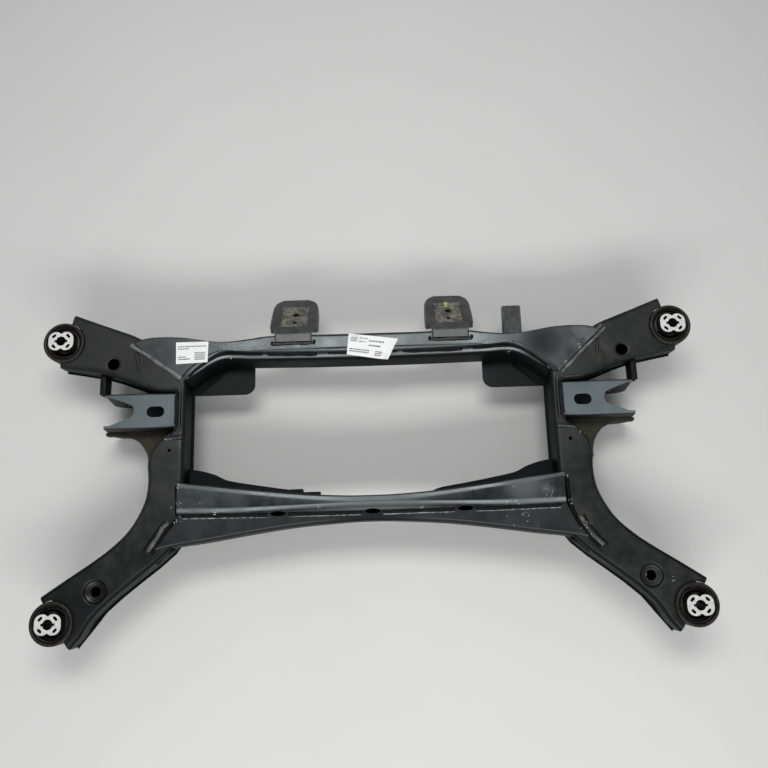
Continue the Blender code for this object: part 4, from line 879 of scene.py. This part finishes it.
def mount_bracket(tag):
    centre = MOUNT_X[tag]
    base_z = LAP_Z + GAP + SHEET
    bend = 0.01
    path = [(0.224, base_z, 0.0), (0.23, base_z, 0.0)]
    for i in range(9):
        angle = MOUNT_SLOPE * i / 8
        path.append((0.2362 + bend * sin(angle), base_z - bend * (1 - cos(angle)), angle))
    start_y, start_z, _ = path[-1]
    keys = mm((0, 65, 0), (6, 69, 4), (13, 81, 10), (24, 85, 14), (66, 83, 14), (80, 79, 12), (89, 71, 9),
              (96, 51, 5))
    curve = smooth_curve(keys, 34)
    widths = [0.065] * len(path)
    flanges = [0.0] * len(path)
    for p in curve[1:]:
        path.append((start_y + p.x * cos(MOUNT_SLOPE), start_z - p.x * sin(MOUNT_SLOPE), MOUNT_SLOPE))
        widths.append(p.y)
        flanges.append(max(0.0, p.z))
    rings = []
    for (y, z, angle), width, flange in zip(path, widths, flanges):
        half = 0.5 * width
        depth = SHEET + flange
        outer = [(-half, -depth), (-half, -0.0035), (-half + 0.0008, -0.0014), (-half + 0.0028, 0.0)]
        inner = [(half - SHEET, -depth), (half - SHEET - 0.0005, -SHEET - 0.0002)]
        points = outer + flipped(outer) + inner + flipped(inner)
        rings.append([(centre + u, y + w * sin(angle), z + w * cos(angle)) for u, w in points])
    obj = raw(loft(rings))
    place = Matrix.Translation((centre, start_y, start_z)) @ Matrix.Rotation(-MOUNT_SLOPE, 4, "X")
    spot = (0.0, 0.0445)
    shapes = [add(prism(1, rounded_box(spot, 0.056, 0.065, 0.01), -0.007, -0.0016, 0.12, spot)),
              cut(prism(1, rounded_box(spot, 0.051, 0.06, 0.008, 10), -0.0036, 0.0002, 0.1, spot)),
              cut(prism(1, circle((0.001, 0.055), 0.006, 32), -0.02, 0.01)),
              cut(prism(1, circle((0.0, 0.032), 0.0044, 24), -0.02, 0.01))]
    for _, bm in shapes:
        bmesh.ops.transform(bm, matrix=place, verts=bm.verts)
    bake(obj, shapes, 0.0006)
    dress(obj, "mount_skin_" + tag, dusty, "dusty_coat", "mount_bracket_" + tag)


# Bushes

def core_outline(centre, grow=0.0):
    """Outline of the core, with a notch in the middle of each long side."""
    outline = rounded_box((0, 0), CORE_SIZE[0] + 2 * grow, CORE_SIZE[1] + 2 * grow, CORE_CORNER + grow, 10)
    notched = []
    for i, (x, y) in enumerate(outline):
        notched.append((x, y))
        following = outline[(i + 1) % len(outline)]
        if abs(y) > 0.013 and x * following[0] < 0:
            way = copysign(1, following[0])
            for k in range(-6, 7):
                share = 0.009 * k / 6
                dip = 0.0032 * exp(-(share / 0.0034) ** 2)
                if abs(share) < abs(x):
                    notched.append((way * share, y - copysign(dip, y)))
    return [(x + centre[0], y + centre[1]) for x, y in notched]


def bush(spot, side, tag):
    centre = (side * spot[0], spot[1])
    top = SKIN_Z - ARM_DROP + 0.0015
    bottom = top - BUSH_DEPTH
    outer = HOUSING_RADIUS
    bore = outer - 0.003
    edge = 0.0006
    ring = [(bore, bottom + edge), (bore + edge, bottom), (outer - edge, bottom), (outer, bottom + edge),
            (outer, top - edge), (outer - edge, top), (bore + edge, top), (bore, top - edge)]
    dress(bake(raw(revolve(centre, ring))), "housing_skin_" + tag, black, "black_coat", "bush_housing_" + tag)
    out = bore - GAP
    inside = out - 0.0018
    ring = rectangle(inside, out, bottom - 0.001, top)
    dress(bake(raw(revolve(centre, ring))), "sleeve_skin_" + tag, steel, "sleeve_steel", "bush_sleeve_" + tag)

    seat = top + GAP
    rim = top + 0.0042
    wall = inside - GAP
    rim_out = outer - 0.0002
    profile = [(0.004, bottom + 0.01), (0.024, bottom + 0.01), (wall, bottom - 0.001), (wall, seat),
               (rim_out, seat)]
    for i in range(7):
        angle = 0.5 * pi * i / 6
        profile.append((rim_out - 0.0016 * (1 - cos(angle)), rim - 0.0016 * (1 - sin(angle))))
    slope = mm((31.8, 0), (30.8, 0.3), (30, 1.2), (29, 3), (28.2, 3.6), (27.2, 3.8), (26.2, 4.8), (25, 8),
               (21.5, 7.6), (4, 6))
    profile += [(r, rim - z) for r, z in slope]
    tools = []
    for sign in (1, -1):
        void = []
        for radius, way in zip(VOID_RADII, (1, -1)):
            for i in range(-12, 13):
                angle = sign * 0.5 * pi + way * sign * VOID_SWEEP * i / 12
                void.append(polar(centre, radius, angle))
        tools.append(cut(prism(1, void, top - 0.022, top + 0.03)))
    pocket = prism(1, core_outline(centre, GAP), bottom - 0.03, top + 0.03)
    obj = bake(raw(revolve(centre, profile)), [cut(pocket)] + tools, 0.0004)
    dress(obj, "rubber_skin_" + tag, rubber, "bush_rubber", "bush_rubber_" + tag)

    core_top = top + CORE_RISE
    core_low = bottom - 0.006
    body = raw(prism(1, core_outline(centre), core_low, core_top))
    tools = [cut(prism(1, circle(centre, 0.0083, 48), core_low - 0.01, core_top + 0.01)),
             cut(prism(1, rounded_box(centre, 0.0226, 0.0042, 0.001, 4), core_low - 0.01, core_top + 0.01))]
    for sx, sy in ((1, 1), (-1, 1), (-1, -1), (1, -1)):
        turn = Matrix.Rotation(atan2(sy, sx) + 0.5 * pi, 2)
        hole = []
        for x, y in rounded_box((0, 0), 0.0084, 0.0044, 0.002, 5):
            p = turn @ Vector((x, y))
            hole.append((centre[0] + sx * 0.0122 + p.x, centre[1] + sy * 0.0092 + p.y))
        tools.append(cut(prism(1, hole, core_low - 0.01, core_top + 0.01)))
    bake(body, tools, 0.0005)
    dress(body, "core_skin_" + tag, alloy, "core_aluminium", "bush_core_" + tag)


# Weld beads, labels and flecks

def bead(bm, points, width, height, seed, pitch):
    """A rippled bead along a path, flat side down."""
    source = random.Random(seed)
    length = sum((Vector(b) - Vector(a)).length for a, b in zip(points, points[1:]))
    count = max(8, int(length / 0.0011))
    path = smooth_curve(points, count)
    phase = source.uniform(0, 6)
    rings = []
    for i, p in enumerate(path):
        way = (path[min(i + 1, count - 1)] - path[max(i - 1, 0)]).normalized()
        across = way.cross(Vector((0, 0, 1))).normalized()
        run = length * i / (count - 1)
        ripple = 0.5 + 0.5 * sin(2 * pi * run / pitch + phase + 1.2 * noise.noise(p * 90))
        swell = 1 + 0.22 * noise.noise(p * 34 + Vector((seed, 0, 0)))
        end = sqrt(max(0.02, min(1.0, 4 * min(run, length - run) / width)))
        w = 0.5 * width * swell * end * (0.92 + 0.08 * ripple)
        h = height * swell * end * (0.86 + 0.14 * ripple)
        sway = across * (0.16 * width * noise.noise(p * 38 + Vector((0, seed, 0))))
        middle = p + sway
        angles = [pi * k / 8 for k in range(9)]
        ring = [middle + across * (w * cos(a)) + Vector((0, 0, h * sin(a) - 0.0003)) for a in angles]
        ring.append(middle - across * (0.5 * w) - Vector((0, 0, 0.0012)))
        ring.append(middle + across * (0.5 * w) - Vector((0, 0, 0.0012)))
        rings.append(ring)
    loft(rings, bm)


def bead_piece(name, beads, mat, pitch, slot="black_coat"):
    """Beads of (path, width, height) in one piece."""
    bm = bmesh.new()
    for i, (points, width, height) in enumerate(beads):
        bead(bm, points, width, height, 11 * i + len(name), pitch)
    obj = placed(bm, name)
    obj.data.shade_smooth()
    dress(obj, name, mat, slot)


def path_at(line, z, side=1, dx=0.0, dy=0.0):
    """A plan line, moved and mirrored, as a path at one height."""
    return [(side * (x + dx), y + dy, z) for x, y in line]


def welds():
    skin = LAP_Z
    seam = [(p.x, p.y) for p in smooth_curve(REAR_SEAM, 40)]
    path = [(x, y - 0.0014) for x, y in mirrored(seam)]
    beads = []
    for first, last, width in ((2, 20, 0.005), (19, 31, 0.0085), (31, 46, 0.0046), (46, 60, 0.008),
                               (60, 77, 0.005)):
        beads.append((path_at(path[first:last:2], skin - SEAM_DROP - 0.0008), width, 0.0032))
    for side in (-1, 1):
        line = mm((324.5, 145), (316, 148.5), (304, 152.8), (293, 160.4), (281, 171), (270, 180),
                  (261, 187.2))
        beads.append((path_at(line, 0.0762, side), 0.005, 0.0044))
    # Painted shade: these weld beads take the near-black groove coat.
    bead_piece("weld_rear", beads, groove_shade_coat, 0.03)

    # Weld ridges in the light grey coat of painted highlight.
    ridge = mm((322, 164), (345, 181), (378, 205), (402, 221.2))
    left = path_at(ridge, SKIN_Z - 0.0002, -1) + [(-0.4125, 0.2295, SKIN_Z - 0.0015)]
    bead_piece("weld_ridge_left", [(left, 0.0082, 0.0052)], silver_highlight_coat, 0.05, "satin_coat")
    ridge = mm((330, 160), (352, 181.5), (378, 206), (404.5, 230.5))
    right = path_at(ridge, SKIN_Z - 0.0004, 1, 0.0035, -0.0035) + [(0.4175, 0.235, SKIN_Z - 0.0015)]
    above = path_at(ridge, SKIN_Z - 0.0004, 1, -0.0015, 0.0015) + [(0.4115, 0.24, SKIN_Z - 0.0015)]
    bead_piece("weld_ridge_right", [(right, 0.0062, 0.0046), (above, 0.006, 0.0042)], silver_highlight_coat, 0.05,
               "satin_coat")

    beads = []
    ends = {-1: mm((324.5, -18), (324, -40), (323.5, -62), (324, -74), (330, -81), (339.5, -90),
                   (346, -100), (353, -111), (360, -122), (365, -129)),
            1: mm((327, -19), (327.5, -40), (328.5, -62), (332, -74), (339, -90), (345, -102),
                  (352, -113), (360, -124), (368, -133), (374.5, -139.5))}
    # Near-black beads beside the laps paint the shade of their grooves.
    groove_shade_beads = []
    for side, line in ends.items():
        groove_shade_beads.append((path_at(line[:5], SKIN_Z + 0.0004, side), 0.0082, 0.0054))
        groove_shade_beads.append((path_at(line[4:], SKIN_Z + 0.0004, side, -0.0006, -0.0002), 0.006, 0.005))
        beads.append((path_at(line[4:], SKIN_Z - 0.0006, side, 0.0062, 0.002), 0.0088, 0.004))
        groove_shade_beads.append((path_at(line[4:], SKIN_Z - 0.001, side, 0.0122, 0.004), 0.0046, 0.0034))
    bead_piece("weld_lap", beads, smear_coat, 0.02)
    bead_piece("weld_lap_groove", groove_shade_beads, groove_shade_coat, 0.03)

    beads = []
    for side in (-1, 1):
        lip = mm((329, -123.2), (340, -129), (350, -137.2), (359, -147))
        beads.append((path_at(lip, SKIN_Z - 0.0165, side), 0.005, 0.0036))
    scoops = []
    for side, width in ((-1, 0.009), (1, 0.008)):
        scoop = mm((318, 63.6), (328, 63.2), (340, 62.2), (352, 60.6))
        scoops.append((path_at(scoop, SKIN_Z - 0.002, side), width, 0.0052))
    bead_piece("weld_scoop", scoops, satin, 0.09, "satin_coat")
    creases = []
    for side in (-1, 1):
        line = mm((405, 215), (400.8, 204), (398.4, 191.1), (393.5, 178.5), (385, 164), (374.5, 153))
        creases.append((path_at(line, SKIN_Z - 0.0024, side), 0.0064, 0.0034))
    bead_piece("crease_ridges", creases, black, 0.09)
    face = LAP_Z - 0.0002
    edges = []
    for x0, x1 in mm((-315, -172), (-138, -15), (19, 139), (173, 315)):
        steps = [x0 + (x1 - x0) * k / 5 for k in range(6)]
        line = [(x, y_at(FRONT_SEAM, abs(x)) - 0.0026, face - (0.001 if abs(x) < 0.25 else 0.0))
                for x in steps]
        beads.append((line, 0.0078, 0.0032))
        edges.append(([(x, y - 0.0044, z - 0.0002) for x, y, z in line], 0.0026, 0.0016))
    # Painted shade: the front seam's beads take the near-black groove coat.
    bead_piece("weld_front", beads, groove_shade_coat, 0.045)
    # Thin lines below the front seam in the coat of dust and painted glints.
    bead_piece("weld_front_edge", edges, dust_and_glint_coat, 0.011)

    beads = []
    for centre in MOUNT_X.values():
        line = [(centre + u, 0.2222 - 0.0014 * abs(sin(70 * u)), LAP_Z - 0.0002)
                for u in (-0.0375, -0.034, -0.022, -0.008, 0.008, 0.022, 0.034, 0.0375)]
        beads.append((line, 0.007, 0.005))
        for u in (-0.0365, 0.0365):
            corner = [(centre + u + dx, y, LAP_Z) for dx,
                      y in ((-0.003, 0.2222), (0, 0.2226), (0.003, 0.2222))]
            beads.append((corner, 0.0094, 0.006))
    for side in (-1, 1):
        beads.append(([(side * (NECK_X + 0.0015), y, LINK_WEB_Z - 0.0006)
                       for y in (0.088, 0.104, 0.122, 0.14)], 0.005, 0.0032))
    bead_piece("weld_brackets", beads, bead_coat, 0.03)


def label(name, corners, z, lines, seed, sag=lambda u, v: 0.0):
    """A paper label with faint printed bars. z gives the height of the face below, sag adds to it."""
    source = random.Random(seed)
    a, b, c, d = [Vector(p) for p in corners]
    columns, rows = 24, 16

    def place(u, v, lift):
        p = (a.lerp(b, u)).lerp(d.lerp(c, u), v)
        curl = 0.0006 * max(0.0, noise.noise(Vector((p.x * 60, p.y * 60, seed)))) + sag(u, v)
        return (p.x, p.y, z(p.x, p.y) + lift + curl)

    bm = bmesh.new()
    top, low = [[[bm.verts.new(place(i / columns, j / rows, lift)) for i in range(columns + 1)]
                 for j in range(rows + 1)] for lift in (0.00035, 0.00015)]
    for j in range(rows):
        for i in range(columns):
            bm.faces.new((top[j][i], top[j][i + 1], top[j + 1][i + 1], top[j + 1][i]))
            bm.faces.new((low[j][i], low[j + 1][i], low[j + 1][i + 1], low[j][i + 1]))
    border = [(0, i) for i in range(columns + 1)] + [(j, columns) for j in range(1, rows + 1)]
    border += [(rows, i) for i in range(columns - 1, -1, -1)] + [(j, 0) for j in range(rows - 1, 0, -1)]
    for (j0, i0), (j1, i1) in zip(border, border[1:] + border[:1]):
        bm.faces.new((top[j0][i0], low[j0][i0], low[j1][i1], top[j1][i1]))
    for u0, v0, u1, v1, broken in lines:
        u = u0
        while u < u1 - 0.004:
            width = min(u1 - u, source.uniform(*broken))
            quad = [place(s, t, 0.00042) for s, t in rectangle(u, u + width, v0, v1)]
            for face in slab(bm, quad, [(x, y, h - 0.00012) for x, y, h in quad]):
                face.material_index = 1
            u += width + source.uniform(0.35, 0.8) * broken[0]
    obj = dress(placed(bm, name), name, paper_mat, "satin_coat")
    obj.data.materials.append(ink)


def labels():
    words = (0.025, 0.07)
    blocks = (0.008, 0.014)
    lines = [(0.06, 0.77, 0.94, 0.815, words), (0.06, 0.66, 0.4, 0.71, words),
             (0.06, 0.28, 0.3, 0.33, blocks), (0.06, 0.18, 0.44, 0.23, words)]
    lines += [(0.58, v, 0.92, v + 0.05, blocks) for v in (0.14, 0.22, 0.3, 0.38, 0.46)]
    label("label_left", mm((-332, 190), (-277.5, 192), (-276.5, 229), (-333, 229)), lambda x, y: LAP_Z,
          lines, 3)

    def surface(x, y):
        edge = 0.2047
        if y >= edge + 0.009:
            return LAP_Z
        fall = min(1.0, (edge + 0.009 - y) / 0.022)
        return LAP_Z - 0.0052 * fall * fall

    lines = [(0.05, v, 0.19, v + 0.05, blocks) for v in (0.64, 0.72, 0.8)]
    lines += [(0.24, 0.82, 0.4, 0.86, words), (0.44, 0.72, 0.76, 0.78, words), (0.24, 0.66, 0.38, 0.7, words),
              (0.46, 0.5, 0.72, 0.57, blocks), (0.05, 0.26, 0.5, 0.31, words),
              (0.05, 0.16, 0.5, 0.22, blocks)]
    lines += [(0.64, v, 0.8, v + 0.05, blocks) for v in (0.1, 0.18, 0.26)]
    label("label_middle", mm((-36, 199), (35, 188), (54, 224), (-32, 236)), surface, lines, 8,
          lambda u, v: 0.004 * max(0.0, u - 0.86) * (1 - v) * 4)


def flecks():
    """Bright weld spatter and chips on the skins: marks give x, y and spread in millimetres, and a count."""
    source = random.Random(42)
    marks = ((-322.7, -21.1, 4, 8), (-322.3, -75.8, 6, 9), (-322.5, -48, 11, 8), (-260.8, -66.2, 3.5, 5),
             (-85.2, -61.1, 3, 3), (-281.6, -49.2, 3, 2), (325.6, -22.3, 4.5, 8), (329.1, -65, 5, 9),
             (242.2, -63.7, 3.5, 4), (251.6, -83.1, 3.5, 4), (83.2, -67.1, 2.5, 4), (236.5, -36.2, 2.5, 2),
             (292.9, -49.9, 8, 7), (271.2, -101.2, 4, 2), (-343.9, 63.6, 6, 5), (360, 54.2, 6, 8),
             (-410.3, 227.4, 5, 5), (370.8, 199.4, 6, 9), (342.7, 173.4, 4, 4), (399.7, 153.9, 3.5, 4),
             (248.4, 199, 3, 4), (-240.6, 201.5, 2, 3), (486.4, -194, 4, 4), (-357.3, 108.8, 2, 2),
             (230, -85, 30, 7), (356, -105, 16, 7))
    graph = bpy.context.evaluated_depsgraph_get()
    bm = bmesh.new()
    for *row, count in marks:
        x, y, spread = mm(row)[0]
        for _ in range(count):
            px = x + source.uniform(-spread, spread)
            py = y + source.uniform(-spread, spread) + SHIFT_Y
            hit, where, normal, _, _, _ = scene.ray_cast(graph, Vector((px, py, 0.4)), Vector((0, 0, -1)))
            if not hit or where.z < 0.09:
                continue
            across = normal.orthogonal().normalized()
            along = normal.cross(across)
            turn = source.uniform(0, pi)
            major = source.uniform(0.0007, 0.0024)
            minor = source.uniform(0.0004, 0.0009)
            ring_top = []
            ring_low = []
            for k in range(7):
                angle = 2 * pi * k / 7
                u = major * cos(angle) * source.uniform(0.7, 1.2)
                v = minor * sin(angle) * source.uniform(0.7, 1.2)
                flat = (across * (u * cos(turn) - v * sin(turn)) + along * (u * sin(turn) + v * cos(turn)))
                ring_top.append(where + flat * 0.8 + normal * 0.0003)
                ring_low.append(where + flat - normal * 0.0002)
            slab(bm, ring_top, ring_low)
    bmesh.ops.recalc_face_normals(bm, faces=bm.faces)
    dress(to_object(bm, "spatter"), "spatter", chip_coat, "sleeve_steel")


for side, tag in ((-1, "l"), (1, "r")):
    side_member(side, tag)
    link_bracket(side, tag)
    rear_link_bracket(side, tag)
    mount_bracket(tag)
    bush(REAR_BUSH, side, "rear_" + tag)
    bush(FRONT_BUSH, side, "front_" + tag)
rear_crossmember()
front_crossmember()
welds()
labels()
flecks()

# The side members' lower pressings take the wall coat of painted shade.
CARRIED = (("side_member_base", wall_shade_coat), ("hanger", hanger_coat), ("link_gusset", olive),
           ("front_link", shade), ("link_strut", shade), ("mount_nut", shade))
for name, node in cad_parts.items():
    chosen = next((mat for start, mat in CARRIED if name.startswith(start)), black)
    for i in range(len(node.data.materials)):
        node.data.materials[i] = chosen
    if not node.data.materials:
        node.data.materials.append(chosen)


# Studio

LAMPS = (("key", (-0.06, 0.7, 2.0), (0.0, 0.19, 0.14), (1.1, 0.5), 19.0),
         ("back", (0.0, 0.8, 2.1), (0.0, 0.19, 0.14), (3.0, 0.8), 4.0),
         ("front", (0.1, -1.5, 1.5), (0.0, 0.0, 0.1), (2.2, 0.5), 30.0))


def studio():
    bm = bmesh.new()
    bmesh.ops.create_grid(bm, x_segments=2, y_segments=2, size=5.0)
    floor = to_object(bm, "floor")
    t = Tree("studio_floor")
    t.set("Base Color", t.mix(t.noise(3.0, 4.0), (0.62, 0.62, 0.61), (0.66, 0.66, 0.65)))
    t.set("Roughness", 0.9)
    t.set("Specular IOR Level", 0.1)
    floor.data.materials.append(t.mat)

    world = bpy.data.worlds.new("studio")
    scene.world = world
    world.use_nodes = True
    nodes = world.node_tree.nodes
    links = world.node_tree.links
    background = nodes["Background"]
    background.inputs["Color"].default_value = (0.86, 0.88, 0.9, 1.0)
    path = nodes.new("ShaderNodeLightPath")
    mix = nodes.new("ShaderNodeMix")
    mix.inputs["A"].default_value = 0.28
    mix.inputs["B"].default_value = 1.0
    links.new(path.outputs["Is Camera Ray"], mix.inputs["Factor"])
    links.new(mix.outputs["Result"], background.inputs["Strength"])

    for name, place, aim, size, power in LAMPS:
        lamp = bpy.data.lights.new(name, "AREA")
        lamp.shape = "RECTANGLE"
        lamp.size, lamp.size_y = size
        lamp.energy = power
        obj = bpy.data.objects.new(name, lamp)
        obj.location = place
        obj.rotation_euler = (Vector(aim) - Vector(place)).to_track_quat("-Z", "Y").to_euler()
        scene.collection.objects.link(obj)

    x, y, z = CAMERA_PLACE
    camera = bpy.data.cameras.new("camera")
    camera.lens = CAMERA_LENS
    camera.sensor_width = 36.0
    obj = bpy.data.objects.new("camera", camera)
    forward = Vector(CAMERA_AIM).normalized()
    right = Vector((1.0, 0.0, 0.0))
    up = right.cross(forward)
    axis_x = right * cos(CAMERA_ROLL) - up * sin(CAMERA_ROLL)
    axis_y = right * sin(CAMERA_ROLL) + up * cos(CAMERA_ROLL)
    matrix = Matrix((axis_x, axis_y, -forward)).transposed().to_4x4()
    matrix.translation = (x, y + SHIFT_Y, z)
    obj.matrix_world = matrix
    scene.collection.objects.link(obj)
    scene.camera = obj
    scene.view_settings.view_transform = "Standard"


studio()
